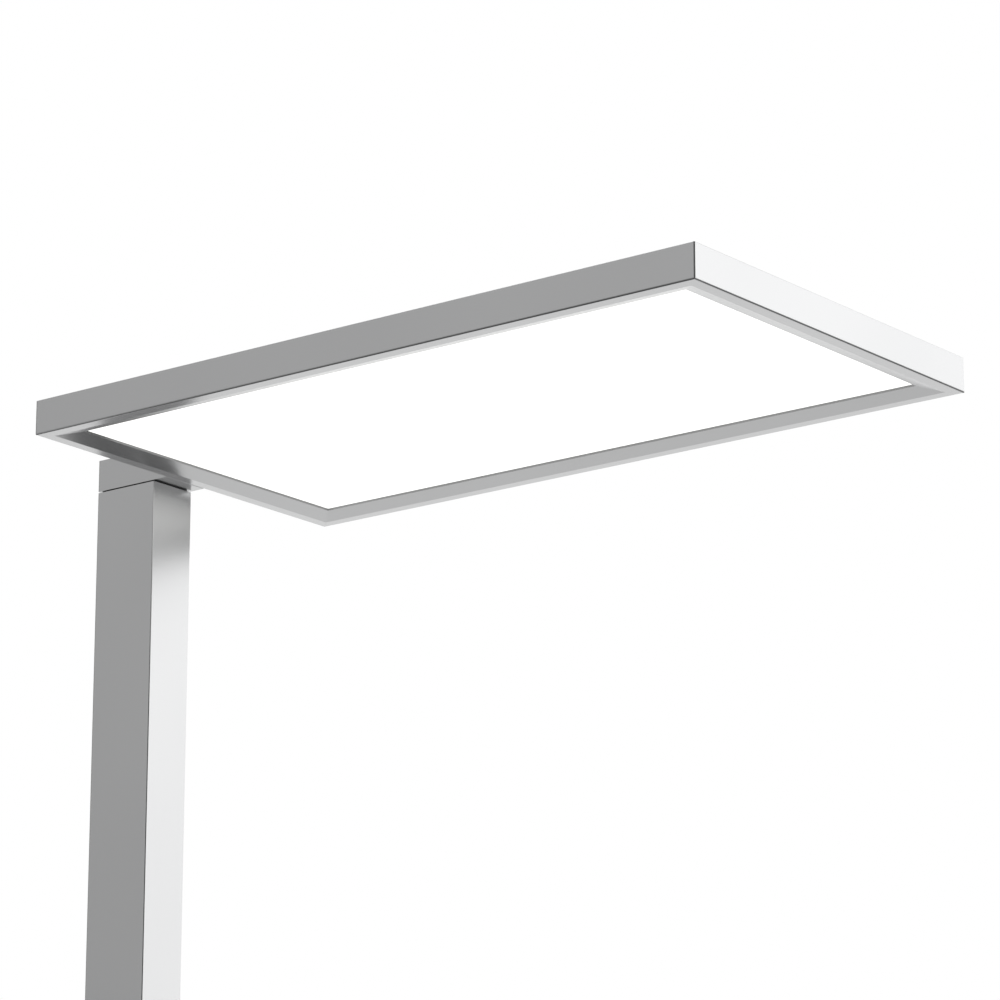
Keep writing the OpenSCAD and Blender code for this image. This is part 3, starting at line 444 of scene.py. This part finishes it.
@dataclass(frozen=True)
class PowderCoat(Finish):
    """Structured powder coat in silver grey, with metal flake under it.

    Attributes:
        colour: The coat's colour.
        flake: A flake's colour.
        peel: Bumps to the metre.
        flakes: Flakes to the metre.
        metal: How metallic the whole looks.
        gloss: The roughness between bumps and on them.
        depth: How high a bump is, in metres.
        strength: How much of that shows.
        rim: From a flake's middle to its rim, as distances between flakes.
    """

    colour: Triple = (0.39, 0.395, 0.40)
    flake: Triple = (0.56, 0.565, 0.57)
    peel: float = 620.0
    flakes: float = 1400.0
    metal: float = 0.35
    gloss: Pair = (0.42, 0.56)
    depth: float = 0.05 * MM
    strength: float = 0.6
    rim: Pair = (0.05, 0.4)

    def draw(self, sheet: Sheet) -> None:
        """Adds the peel of the coat and scattered flakes."""
        peel = sheet.noise(sheet.coords(), self.peel, detail=1.5)
        flakes = sheet.spread(sheet.cells(sheet.coords(), self.flakes), 1.0, 0.0, *self.rim)
        sheet.set(base_color=sheet.blend(flakes, self.colour, self.flake), metallic=self.metal)
        sheet.set(roughness=sheet.spread(peel, *self.gloss))
        sheet.relief(peel, self.depth, self.strength)


@dataclass(frozen=True)
class Rubber(Finish):
    """Matt moulded rubber with a fine pebble.

    Attributes:
        colour: Its colour where it is clean.
        pebble: Pebbles to the metre.
        dust: Swells of dust to the metre.
        gloss: The roughness where it is clean and where it is dusty.
        depth: How high a pebble is, in metres.
        strength: How much of that shows.
        dusty: The factor of a dusty tone.
        core: The stretch of noise from clean to dusty.
    """

    colour: Triple = (0.022, 0.022, 0.024)
    pebble: float = 900.0
    dust: float = 40.0
    gloss: Pair = (0.72, 0.9)
    depth: float = 0.05 * MM
    strength: float = 0.7
    dusty: float = 2.2
    core: Pair = (0.45, 0.8)

    def draw(self, sheet: Sheet) -> None:
        """Adds pebbles and pale dust."""
        pebble = sheet.cells(sheet.coords(), self.pebble)
        dust = sheet.noise(sheet.coords(), self.dust, detail=4.0)
        patches = sheet.spread(dust, 0.0, 1.0, *self.core)
        sheet.set(base_color=sheet.blend(patches, self.colour, toned(self.colour, self.dusty)))
        sheet.set(roughness=sheet.spread(dust, *self.gloss), specular_ior_level=0.35)
        sheet.relief(pebble, self.depth, self.strength)


@dataclass(frozen=True)
class Moulded(Finish):
    """Injection-moulded plastic with a spark-eroded texture.

    Attributes:
        colour: Its colour.
        gloss: Its middle roughness.
        texture: Craters to the metre.
        depth: How deep a crater is, in metres.
        flow: Swells of tone to the metre.
        dark: The factor of its darker tone.
        wear: How far the craters move the roughness, either way.
    """

    colour: Triple = (0.5, 0.5, 0.5)
    gloss: float = 0.45
    texture: float = 1600.0
    depth: float = 0.012 * MM
    flow: float = 30.0
    dark: float = 0.94
    wear: float = 0.06

    def draw(self, sheet: Sheet) -> None:
        """Adds the spark texture and a slight flow of tone."""
        spark = sheet.noise(sheet.coords(), self.texture)
        flow = sheet.noise(sheet.coords(), self.flow, detail=1.0)
        sheet.set(base_color=sheet.blend(flow, toned(self.colour, self.dark), self.colour))
        worn = sheet.spread(spark, 0.0, 2.0 * self.wear)
        sheet.set(roughness=sheet.sum(worn, self.gloss - self.wear))
        sheet.relief(spark, self.depth)


@dataclass(frozen=True)
class OpalGlow(Finish):
    """Satin opal acrylic, lit evenly through its whole face.

    What metal mirrors of it is painted darker than what the eye sees: painted shade in its
    reflections, least bright beside the frame.

    Attributes:
        colour: The sheet's own colour.
        light: The colour of its light.
        dark: The factor of its darker tone.
        grain: Grains of its satin to the metre.
        gloss: The roughness in a grain and beside it.
        dull: The colour that metal mirrors under the light, darkened as painted shade.
        dull_gloss: The roughness that goes with it.
        dim: The painted shade of the mirrored light, its level at the sheet's edges and in its
            middle.
        margin: How far inside the edges the first ends and the second begins.
        near_dim: The painted shade of the mirrored light along the near edge, by the neck and
            farther on.
        near_x: The places along X where the first ends and the second begins.
        near_margin: How far inside the near edge its own light begins to fade, and ends.
    """

    colour: Triple = (0.86, 0.86, 0.85)
    light: Triple = (1.0, 1.0, 0.98)
    dark: float = 0.98
    grain: float = 900.0
    gloss: Pair = (0.34, 0.42)
    dull: Triple = (0.2, 0.2, 0.2)
    dull_gloss: float = 0.38
    dim: Pair = (0.22, 0.50)
    margin: Pair = (0.01, 0.05)
    near_dim: Pair = (0.04, 0.90)
    near_x: Pair = (0.10, 0.28)
    near_margin: Pair = (0.0315, 0.045)

    def draw(self, sheet: Sheet) -> None:
        """Adds the lit shader and the dimmer one that mirrors see, which paints shade into the
        reflections.
        """
        satin = sheet.noise(sheet.coords(), self.grain, detail=1.0)
        sheet.set(base_color=sheet.blend(satin, toned(self.colour, self.dark), self.colour))
        sheet.set(roughness=sheet.spread(satin, *self.gloss), ior=ACRYLIC_IOR)
        sheet.set(emission_color=self.light, emission_strength=1.0)
        # Painted shade: metal mirrors this darker, dimmer shader instead of the lit one.
        dim = sheet.nodes.new("ShaderNodeBsdfPrincipled")
        sheet.put(self.dull, dim.inputs["Base Color"])
        sheet.put(self.dull_gloss, dim.inputs["Roughness"])
        sheet.put(self.light, dim.inputs["Emission Color"])
        sheet.put(self.painted_mirror_shade(sheet), dim.inputs["Emission Strength"])
        sheet.show(sheet.mix(sheet.rays("Glossy"), sheet.shader.outputs[0], dim.outputs[0]))

    def painted_mirror_shade(self, sheet: Sheet) -> Socket:
        """Gives the mirrored light with its painted shade, which rises from the sheet's edges to
        its middle.

        Along the near edge it rises with the distance from the neck instead.

        Args:
            sheet: The material.

        Returns:
            How bright the sheet looks in metal, as painted shade.
        """
        low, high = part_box("diffuser")
        place = sheet.split(sheet.place)
        inside = []
        for axis in range(2):
            middle, half = (low[axis] + high[axis]) / 2, (high[axis] - low[axis]) / 2
            off = sheet.sum(sheet.sum(place[axis], middle, "SUBTRACT"), 0.0, "ABSOLUTE")
            inside.append(sheet.sum(half, off, "SUBTRACT"))
        level = sheet.spread(sheet.sum(*inside, "MINIMUM"), *self.dim, *self.margin)
        # Painted shade along the near edge, darkest by the neck.
        near = sheet.spread(place[1], 1.0, 0.0, *(low[1] + d for d in self.near_margin))
        near_level = sheet.spread(place[0], *self.near_dim, *self.near_x)
        change = sheet.sum(near_level, level, "SUBTRACT")
        return sheet.sum(level, sheet.sum(change, near, "MULTIPLY"))


@dataclass(frozen=True)
class Acrylic(Finish):
    """See-through acrylic, clear or satin, with fine prisms moulded in one face.

    Attributes:
        colour: Its colour.
        satin: Its least roughness.
        prisms: Prisms to the metre.
        depth: How deep a prism is, in metres.
        haze: Swells of haze to the metre.
        dark: The factor of its darker tone.
        hazy: How much the haze adds to the roughness.
    """

    colour: Triple = (0.96, 0.975, 0.97)
    satin: float = 0.05
    prisms: float = 500.0
    depth: float = 0.002 * MM
    haze: float = 60.0
    dark: float = 0.985
    hazy: float = 0.05

    def draw(self, sheet: Sheet) -> None:
        """Adds prisms and a slight haze."""
        rows = sheet.ridges(sheet.coords(), self.prisms, "Y")
        haze = sheet.noise(sheet.coords(), self.haze)
        sheet.set(base_color=sheet.blend(haze, toned(self.colour, self.dark), self.colour))
        sheet.set(roughness=sheet.spread(haze, self.satin, self.satin + self.hazy))
        sheet.set(transmission_weight=1.0, ior=ACRYLIC_IOR)
        sheet.relief(rows, self.depth)


@dataclass(frozen=True)
class CircuitBoard(Finish):
    """Coated laminate with copper tracks that show faintly through the mask.

    Attributes:
        colour: The mask's colour.
        track: Its colour over a track.
        pitch: Tracks to the metre.
        patches: Patches of tracks to the metre.
        gloss: The roughness of the mask and over a track.
        depth: How high a track is, in metres.
        stretch: How the patches are stretched.
        edge: The stretch of noise across a track's edge.
    """

    colour: Triple = (0.82, 0.82, 0.78)
    track: Triple = (0.74, 0.74, 0.69)
    pitch: float = 420.0
    patches: float = 130.0
    gloss: Pair = (0.36, 0.3)
    depth: float = 0.03 * MM
    stretch: Triple = (1.0, 0.3, 1.0)
    edge: Pair = (0.26, 0.32)

    def draw(self, sheet: Sheet) -> None:
        """Adds tracks and the gloss of the mask."""
        across = sheet.ridges(sheet.coords(), self.pitch, "X")
        patches = sheet.noise(sheet.coords(self.stretch), self.patches, detail=0.0)
        tracks = sheet.spread(sheet.sum(across, patches, "MULTIPLY"), 0.0, 1.0, *self.edge)
        sheet.set(base_color=sheet.blend(tracks, self.colour, self.track))
        sheet.set(roughness=sheet.spread(tracks, *self.gloss))
        sheet.relief(tracks, self.depth)


@dataclass(frozen=True)
class Phosphor(Finish):
    """Silicone dome filled with phosphor grains.

    Attributes:
        colour: A grain's colour.
        pale: The silicone's colour between grains.
        grains: Grains to the metre.
        gloss: The roughness on a grain and beside it.
        coat: How much gloss the skin adds.
    """

    colour: Triple = (0.86, 0.62, 0.10)
    pale: Triple = (0.92, 0.74, 0.24)
    grains: float = 5000.0
    gloss: Pair = (0.22, 0.32)
    coat: float = 0.4

    def draw(self, sheet: Sheet) -> None:
        """Adds grains under a glossy skin."""
        grains = sheet.noise(sheet.coords(), self.grains)
        sheet.set(base_color=sheet.blend(grains, self.colour, self.pale))
        sheet.set(roughness=sheet.spread(grains, *self.gloss), coat_weight=self.coat)


# ---------- The lamp's finishes ----------


class Rack:
    """The lamp's finishes, by the record's slots."""

    bar_along_x = SatinAluminium("satin_aluminium_long", "satin_aluminium", Along.X)
    bar_along_y = SatinAluminium("satin_aluminium_cross", "satin_aluminium", Along.Y)
    column = SatinAluminium("satin_aluminium_upright", "satin_aluminium", Along.Z)
    milled = MilledAluminium("milled_aluminium", "milled_aluminium")
    zinc = PlatedSteel("zinc_steel", "zinc_steel")
    nickel = PlatedSteel("contact_metal", "contact_metal", (0.66, 0.64, 0.58), (0.60, 0.58, 0.52),
                         0.2)
    bronze = SinteredBronze("bush_bronze", "bush_bronze")
    coat = PowderCoat("base_paint", "base_paint")
    rubber = Rubber("mat_rubber", "mat_rubber")
    acetal = Moulded("washer_plastic", "washer_plastic", (0.15, 0.15, 0.152), 0.45)
    opal = OpalGlow("opal_acrylic", "opal_acrylic")
    clear = Acrylic("clear_acrylic", "clear_acrylic")
    lens = Acrylic("satin_lens", "satin_lens", (0.93, 0.94, 0.94), 0.30, 250.0, 0.05 * MM)
    white_sheet = Moulded("white_sheet", "white_sheet", (0.84, 0.84, 0.82), 0.6, 900.0)
    board = CircuitBoard("light_board", "light_board")
    circuit = CircuitBoard("control_circuit", "control_circuit", (0.012, 0.10, 0.03),
                           (0.03, 0.18, 0.06))
    sheath = Moulded("lead_sheath", "lead_sheath", (0.60, 0.60, 0.59), 0.5, 700.0)
    panel = Moulded("panel_plastic", "panel_plastic", (0.030, 0.031, 0.033), 0.5)
    key = Moulded("key_plastic", "key_plastic", (0.30, 0.31, 0.32), 0.42)
    inlet = Moulded("inlet_plastic", "inlet_plastic", (0.012, 0.012, 0.013), 0.42)
    phosphor = Phosphor("phosphor", "light_board")


# ---------- Surfaces ----------


def skin(name: str, points: np.ndarray) -> bpy.types.Object:
    """Makes a mesh from a grid of points on a surface of two parameters, closed round the second.

    Args:
        name: The piece's name.
        points: Array of (u steps, v steps, 3), in metres in the lamp's frame.

    Returns:
        The new object, linked into the scene.
    """
    rows, cols = points.shape[:2]
    here = np.arange(rows - 1)[:, None] * cols
    v = np.arange(cols)[None, :]
    after = (v + 1) % cols
    corners = (here + v, here + cols + v, here + cols + after, here + after)
    return mesh_piece(name, points.reshape(-1, 3), np.stack([c.ravel() for c in corners], axis=1))


def mesh_piece(name: str, points: np.ndarray, faces: np.ndarray) -> bpy.types.Object:
    """Makes a smooth-shaded mesh object, its doubles merged and its faces outwards.

    Args:
        name: The piece's name.
        points: Array of (n, 3), in metres.
        faces: Array of (m, 4) point numbers.

    Returns:
        The new object, linked into the scene.
    """
    mesh = bpy.data.meshes.new(name)
    mesh.from_pydata(points.tolist(), [], faces.tolist())
    merge_and_face(mesh)
    mesh.shade_smooth()
    piece = bpy.data.objects.new(name, mesh)
    bpy.context.scene.collection.objects.link(piece)
    return piece


def merge_and_face(mesh: bpy.types.Mesh) -> None:
    """Merges a mesh's double points and turns its faces outwards."""
    work = bmesh.new()
    work.from_mesh(mesh)
    bmesh.ops.remove_doubles(work, verts=work.verts, dist=MERGE_DIST)
    bmesh.ops.recalc_face_normals(work, faces=work.faces)
    work.to_mesh(mesh)
    work.free()


# ---------- Sub-assemblies ----------


@dataclass
class SubAssembly:
    """Pieces that go together on the bench, each with its finish.

    Attributes:
        title: Its name in the log.
        body: The body that its new pieces ride.
        finishes: Each node's finish.
    """

    title: str
    body: str
    finishes: dict[str, Finish]

    def dress(self) -> None:
        """Gives each node of the sub-assembly its finish."""
        for node, finish in self.finishes.items():
            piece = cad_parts[node]
            for slot in piece.material_slots:
                slot.material = finish.material()
            LOG.info("%s: %s in %s", self.title, node, finish.name)

    def add(self, piece: bpy.types.Object, finish: Finish) -> None:
        """Gives a new piece its finish and its body."""
        piece.data.materials.append(finish.material())
        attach(piece, self.body)
        LOG.info("%s: %s added in %s", self.title, piece.name, finish.name)

    def build(self) -> None:
        """Makes the sub-assembly's new pieces; most have none."""


@dataclass
class Controls(SubAssembly):
    """One key of the control panel, with a raised chevron that shows which way it dims.

    Attributes:
        key: The key's node.
        points_up: Whether the chevron points up.
        half_width: Half of the chevron's width.
        rise: Its height.
        bead_half: Half of the bead's width.
        bead_rise: How high the bead stands over the key.
        apex: How round the apex is.
        path_steps: Points along the bead.
        turn_steps: Points round it.
    """

    key: str = "upper_key"
    points_up: bool = True
    half_width: float = 4.2 * MM
    rise: float = 3.4 * MM
    bead_half: float = 0.55 * MM
    bead_rise: float = 0.22 * MM
    apex: float = 0.006
    path_steps: int = 49
    turn_steps: int = 12

    def build(self) -> None:
        """Sweeps an elliptic bead along the chevron, half of it above the key's face.

        Along the path, t runs from -1 to 1: y = half_width * t, and the height falls off as
        the root of t squared plus apex, which rounds the apex. The bead's section is an
        ellipse, scaled by the fourth root of 1 - t ** 8, which rounds its ends.
        """
        low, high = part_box(self.key)
        t = np.linspace(-1.0, 1.0, self.path_steps)
        a = np.linspace(0.0, 2.0 * np.pi, self.turn_steps, endpoint=False)
        sign = 1.0 if self.points_up else -1.0
        y = self.half_width * t
        z = sign * self.rise * (0.5 - np.sqrt(t ** 2 + self.apex))
        along = np.stack([np.gradient(y), np.gradient(z)], axis=1)
        along /= np.linalg.norm(along, axis=1, keepdims=True)
        taper = np.clip(1.0 - t ** 8, 0.0, 1.0) ** 0.25
        off = self.bead_half * taper[:, None] * np.cos(a)[None, :]
        grid = np.empty((t.size, a.size, 3))
        grid[..., 0] = high.x + self.bead_rise * taper[:, None] * np.sin(a)[None, :]
        grid[..., 1] = y[:, None] - off * along[:, 1:2]
        grid[..., 2] = (low.z + high.z) / 2 + z[:, None] + off * along[:, 0:1]
        self.add(skin(self.key + "_mark", grid), Rack.panel)


@dataclass
class Uplight(SubAssembly):
    """The boards that light the ceiling, with a phosphor dome on each emitter.

    Attributes:
        columns: Emitters in a row.
        pitch: From one to the next.
        board_y: From the head's middle line to a board's.
        row_y: From a board's middle line to a row.
        dome_r: A dome's radius.
        dome_h: Its height.
        rise_steps: Points from its top to its rim.
        turn_steps: Points round it.
    """

    columns: int = 19
    pitch: float = 20.0 * MM
    board_y: float = 35.0 * MM
    row_y: float = 9.0 * MM
    dome_r: float = 1.25 * MM
    dome_h: float = 0.5 * MM
    rise_steps: int = 5
    turn_steps: int = 12

    def build(self) -> None:
        """Makes the domes: z = dome_h * cos(a), radius = dome_r * sin(a), repeated on a grid."""
        low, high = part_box("uplight_boards")
        middle = (low.x + high.x) / 2
        a = np.linspace(0.0, np.pi / 2, self.rise_steps)
        b = np.linspace(0.0, 2.0 * np.pi, self.turn_steps, endpoint=False)
        dome = np.stack([np.sin(a)[:, None] * np.cos(b)[None, :] * self.dome_r,
                         np.sin(a)[:, None] * np.sin(b)[None, :] * self.dome_r,
                         np.repeat(np.cos(a)[:, None], b.size, axis=1) * self.dome_h], axis=-1)
        steps = (np.arange(self.columns) - (self.columns - 1) / 2) * self.pitch
        rows = np.array([s * self.board_y + r * self.row_y for s in (-1, 1) for r in (-1, 1)])
        places = np.stack(np.meshgrid(middle + steps, rows, [high.z], indexing="ij"), axis=-1)
        places = places.reshape(-1, 3)
        points = (places[:, None, None, :] + dome[None]).reshape(-1, 3)
        i, j = np.meshgrid(np.arange(a.size - 1), np.arange(b.size), indexing="ij")
        k = (j + 1) % b.size
        here, above = i * b.size, (i + 1) * b.size
        quad = np.stack([here + j, above + j, above + k, here + k], axis=-1).reshape(1, -1, 4)
        first = np.arange(len(places))[:, None, None] * a.size * b.size
        self.add(mesh_piece("uplight_domes", points, (first + quad).reshape(-1, 4)), Rack.phosphor)


def lamp() -> list[SubAssembly]:
    """Lists the lamp's sub-assemblies, from the floor up."""
    r = Rack
    return [
        SubAssembly("base", "stand", {
            "base_mat": r.rubber, "base_plate": r.coat, "base_screws": r.zinc,
            "foot_block": r.milled, "foot_screws": r.zinc}),
        SubAssembly("column", "stand", {
            "column_profile": r.column, "bearing_block": r.milled, "bearing_screws": r.zinc,
            "swivel_bush": r.bronze, "thrust_washer": r.acetal, "pressure_washer": r.zinc}),
        SubAssembly("driver", "stand", {
            "driver_tray": r.milled, "tray_screw": r.zinc, "led_driver": r.white_sheet,
            "driver_screws": r.zinc, "mains_lead": r.sheath, "column_lead": r.sheath,
            "key_lead": r.sheath}),
        SubAssembly("inlet", "stand", {"mains_inlet": r.inlet, "inlet_pins": r.nickel}),
        SubAssembly("panel", "stand", {"control_panel": r.panel, "control_board": r.circuit}),
        Controls("upper key", "upper_key", {"upper_key": r.key, "upper_stem": r.inlet}),
        Controls("lower key", "lower_key", {"lower_key": r.key, "lower_stem": r.inlet},
                 key="lower_key", points_up=False),
        SubAssembly("swivel", "head", {
            "swivel_spigot": r.zinc, "stop_pin": r.zinc, "disc_spring": r.zinc,
            "lock_nut": r.zinc, "spigot_screws": r.zinc}),
        SubAssembly("neck", "head", {
            "neck_block": r.bar_along_x, "neck_cap": r.bar_along_x, "cap_screws": r.zinc,
            "neck_screws": r.zinc, "neck_bracket": r.zinc, "bracket_rivets": r.milled,
            "head_lead": r.sheath, "head_terminal": r.white_sheet}),
        SubAssembly("frame", "head", {
            "frame_near": r.bar_along_x, "frame_far": r.bar_along_x, "frame_tip": r.bar_along_y,
            "frame_neck_end": r.bar_along_y, "corner_keys": r.milled}),
        SubAssembly("light engine", "head", {
            "diffuser": r.opal, "light_guide": r.clear, "reflector_sheet": r.white_sheet,
            "light_strips": r.board, "chassis_plate": r.milled, "chassis_screws": r.zinc}),
        Uplight("uplight", "head", {
            "uplight_boards": r.board, "board_screws": r.zinc, "uplight_lens": r.lens,
            "top_cover": r.bar_along_x, "cover_screws": r.zinc}),
    ]


# ---------- Studio ----------


@dataclass(frozen=True)
class Viewpoint:
    """The camera, where the photograph was taken from.

    Attributes:
        place: Where it stands, in metres.
        yaw: Turn from +Y towards -X, in degrees.
        climb: How far it looks up, in degrees.
        roll: Turn about its own line of sight, in degrees.
        lens: Focal length, in mm.
        sensor: The sensor's width, in mm.
        reach: How far it sees, in metres.
    """

    place: Triple = (2.41434, -2.59797, 0.93771)
    yaw: float = 38.252
    climb: float = 15.472
    roll: float = 0.134
    lens: float = 163.2
    sensor: float = 36.0
    reach: float = 200.0

    def set_up(self) -> None:
        """Makes the camera the scene's own."""
        data = bpy.data.cameras.new("viewpoint")
        data.lens = self.lens
        data.sensor_width = self.sensor
        data.clip_end = self.reach
        camera = bpy.data.objects.new("viewpoint", data)
        turn = (Matrix.Rotation(math.radians(self.yaw), 4, "Z")
                @ Matrix.Rotation(math.radians(90.0 + self.climb), 4, "X")
                @ Matrix.Rotation(math.radians(self.roll), 4, "Z"))
        camera.matrix_world = Matrix.Translation(self.place) @ turn
        bpy.context.scene.collection.objects.link(camera)
        bpy.context.scene.camera = camera


@dataclass(frozen=True)
class Softbox:
    """A soft square lamp that looks at a point.

    Attributes:
        name: Its name.
        place: Its middle, in metres.
        aim: The point that it looks at.
        side: Its side, in metres.
        level: How bright its face is, where 1 is white.
    """

    name: str
    place: Triple
    aim: Triple
    side: float
    level: float

    def hang(self) -> None:
        """Puts the lamp in the scene; its power follows from its face's brightness."""
        data = bpy.data.lights.new(self.name, "AREA")
        data.shape = "SQUARE"
        data.size = self.side
        data.energy = self.level * math.pi * self.side ** 2
        lamp_object = bpy.data.objects.new(self.name, data)
        lamp_object.location = self.place
        line = Vector(self.aim) - Vector(self.place)
        lamp_object.rotation_euler = line.to_track_quat("-Z", "Y").to_euler()
        bpy.context.scene.collection.objects.link(lamp_object)


@dataclass(frozen=True)
class Studio:
    """A pale floor in a white room whose near side is in half shade.

    Metal shows the room by headings, counted from the bright heading, and the floor by its
    distance across a line and from the lamp.

    Attributes:
        lamp: The soft lamp overhead.
        floor_r: The floor's radius.
        first_ring: The radius of its innermost ring of points.
        floor_rings: Rings of points on the floor.
        floor_turns: Points in a ring.
        pale: The floor's colour.
        fade: The distances where the floor begins to turn white, and is white.
        room_light: How strongly the room lights the lamp.
        bright_heading: The heading of the bright wall, in degrees.
        walls: The walls' tones in metal, by degrees from the bright heading.
        room_level: How bright those tones are as a whole.
        climb: How much of that there is low down and higher up.
        climb_z: The heights of view where the first ends and the second begins.
        overhead: The tone that metal shows overhead.
        overhead_z: The heights of view where it begins and is full.
        across: The direction that the floor's distances across are counted in.
        near_reach: How far across the near tones go either way.
        near_tones: The floor's tones in metal near the lamp, by the distance across.
        far_tones: The same far off, by the distance across as a share of the distance.
        far_gain: How far_tones grows with the distance, at two distances.
        far_r: Those two distances.
        far_from: The distances where the near tones end and the far ones begin.
        shaded: Shaded places on the floor: x, y, radius and factor.
        shade_edge: How far inside and outside the radius a shaded place's edge reaches.
    """

    lamp: Softbox = Softbox("softbox_top", (0.3, 0.2, 5.4), (0.3, 0.0, 1.9), 5.0, 0.9)
    floor_r: float = 40.0
    first_ring: float = 0.5
    floor_rings: int = 12
    floor_turns: int = 48
    pale: Triple = (0.80, 0.80, 0.80)
    fade: Pair = (1.2, 4.5)
    room_light: float = 0.55
    bright_heading: float = 52.0
    walls: tuple[Pair, ...] = (
        (-180.0, 0.357), (-135.0, 0.35), (-110.0, 0.04), (-40.0, 0.04), (-18.0, 0.95),
        (55.0, 0.95), (76.0, 0.90), (88.0, 0.12), (100.0, 0.04), (152.0, 0.04), (167.0, 0.365),
        (180.0, 0.357))
    room_level: float = 1.15
    climb: Pair = (0.89, 1.12)
    climb_z: Pair = (0.1, 0.4)
    overhead: Triple = (0.30, 0.30, 0.30)
    overhead_z: Pair = (0.42, 0.70)
    across: Pair = (-0.62, 0.785)
    near_reach: float = 5.0
    near_tones: tuple[Pair, ...] = (
        (-4.0, 0.27), (-1.9, 0.25), (-1.2, 0.25), (0.0, 0.36), (1.2, 0.42), (1.9, 0.56),
        (3.6, 0.60))
    far_tones: tuple[Pair, ...] = (
        (-0.65, 0.36), (-0.45, 0.19), (-0.2, 0.19), (-0.05, 0.36), (0.2, 0.36), (0.95, 0.78))
    far_gain: Pair = (0.95, 1.25)
    far_r: Pair = (6.0, 14.0)
    far_from: Pair = (4.2, 6.2)
    shaded: tuple[tuple[float, float, float, float], ...] = (
        (-1.15, -0.4, 1.0, 0.08), (1.75, 2.85, 1.0, 0.05), (3.1, 4.2, 1.0, 0.3),
        (-0.9, -2.8, 1.0, 0.3))
    shade_edge: Pair = (-0.1, 0.45)

    def set_up(self) -> None:
        """Lays the floor, hangs the lamp above it and draws the room."""
        self.lay_floor()
        self.lamp.hang()
        self.draw_room()

    def lay_floor(self) -> None:
        """Makes the floor a disc: radius and turn are its two parameters."""
        r = np.geomspace(self.first_ring, self.floor_r, self.floor_rings)
        r = np.concatenate([[0.0], r])
        a = np.linspace(0.0, 2.0 * np.pi, self.floor_turns, endpoint=False)
        grid = np.stack([r[:, None] * np.cos(a)[None, :], r[:, None] * np.sin(a)[None, :],
                         np.zeros((r.size, a.size))], axis=-1)
        floor = skin("floor", grid)
        floor.data.materials.append(self.floor_material())

    def floor_material(self) -> bpy.types.Material:
        """Draws the floor: pale and shadowed near the lamp, white far off.

        Returns:
            The material.
        """
        sheet = Sheet("studio_floor")
        sheet.set(base_color=self.pale, roughness=0.9, specular_ior_level=0.0)
        x, y, _ = sheet.split(sheet.place)
        r = sheet.distance(x, y)
        lit = sheet.shader.outputs[0]
        white = sheet.glow("Emission", WHITE, 1.0)
        far = sheet.mix(sheet.spread(r, 0.0, 1.0, *self.fade), lit, white)
        direct = sheet.mix(sheet.seen(), lit, far)
        tone = self.mirrored_tone(sheet, x, y, r)
        mirrored = sheet.glow("Emission", tone, self.shade(sheet, x, y))
        sheet.show(sheet.mix(sheet.rays("Glossy"), direct, mirrored))
        return sheet.material

    def mirrored_tone(self, sheet: Sheet, x: Socket, y: Socket, r: Socket) -> Socket:
        """Gives what metal mirrors of the floor, outside the shaded places.

        Args:
            sheet: The floor's material.
            x: The place on the floor, along X.
            y: The place on the floor, along Y.
            r: Its distance from the lamp.

        Returns:
            The tone, as a colour.
        """
        over_x, over_y = (sheet.sum(v, f, "MULTIPLY") for v, f in zip((x, y), self.across))
        across = sheet.sum(over_x, over_y)
        share = sheet.spread(across, 0.0, 1.0, -self.near_reach, self.near_reach)
        near = sheet.ramp(share, self.near_reach, self.near_tones)
        sideways = sheet.spread(sheet.sum(across, r, "DIVIDE"), 0.0, 1.0, -1.0, 1.0)
        gain = sheet.spread(r, *self.far_gain, *self.far_r)
        far = sheet.sum(sheet.ramp(sideways, 1.0, self.far_tones), gain, "MULTIPLY")
        return sheet.blend(sheet.spread(r, 0.0, 1.0, *self.far_from), near, far)

    def shade(self, sheet: Sheet, x: Socket, y: Socket) -> Socket:
        """Gives the shaded places, each from its middle, its radius and its factor.

        Args:
            sheet: The floor's material.
            x: The place on the floor, along X.
            y: The place on the floor, along Y.

        Returns:
            A factor, low in the shaded places and 1 elsewhere.
        """
        factor: float | Socket = 1.0
        for middle_x, middle_y, radius, low in self.shaded:
            off_x = sheet.sum(x, middle_x, "SUBTRACT")
            off_y = sheet.sum(y, middle_y, "SUBTRACT")
            edge = (radius + d for d in self.shade_edge)
            near = sheet.spread(sheet.distance(off_x, off_y), low, 1.0, *edge)
            factor = sheet.sum(near, factor, "MULTIPLY")
        return factor

    def draw_room(self) -> None:
        """Draws the world: white to the eye, soft light on the lamp, toned walls in metal."""
        world = bpy.data.worlds.new("room")
        world.use_nodes = True
        bpy.context.scene.world = world
        room = Nodes(world.node_tree)
        lighting = room.nodes["Background"]
        room.put(WHITE, lighting.inputs["Color"])
        room.put(self.room_light, lighting.inputs["Strength"])
        x, y, z = room.split(room.nodes.new("ShaderNodeTexCoord").outputs["Generated"])
        turned = room.sum(room.sum(y, x, "ARCTAN2"), math.radians(self.bright_heading), "SUBTRACT")
        turns = room.sum(turned, 2.0 * math.pi, "DIVIDE")
        share = room.sum(room.sum(turns, 1.5), 0.0, "FRACT")  # the bright heading is at 0.5
        overhead = room.spread(z, 0.0, 1.0, *self.overhead_z)
        tone = room.blend(overhead, room.ramp(share, 180.0, self.walls), self.overhead)
        level = room.sum(room.spread(z, *self.climb, *self.climb_z), self.room_level, "MULTIPLY")
        mirrored = room.glow("Background", tone, level)
        lit = room.mix(room.rays("Glossy"), lighting.outputs[0], mirrored)
        whole = room.mix(room.seen(), lit, room.glow("Background", WHITE, 1.0))
        room.put(whole, room.nodes["World Output"].inputs["Surface"])


def main() -> None:
    """Dresses the lamp, adds its small pieces, and sets the studio and the camera."""
    logging.basicConfig(level=logging.INFO, format="%(name)s: %(message)s")
    bpy.context.scene.view_settings.view_transform = "Standard"
    Viewpoint().set_up()
    for part in lamp():
        part.dress()
        part.build()
    Studio().set_up()


if __name__ == "__main__":
    main()
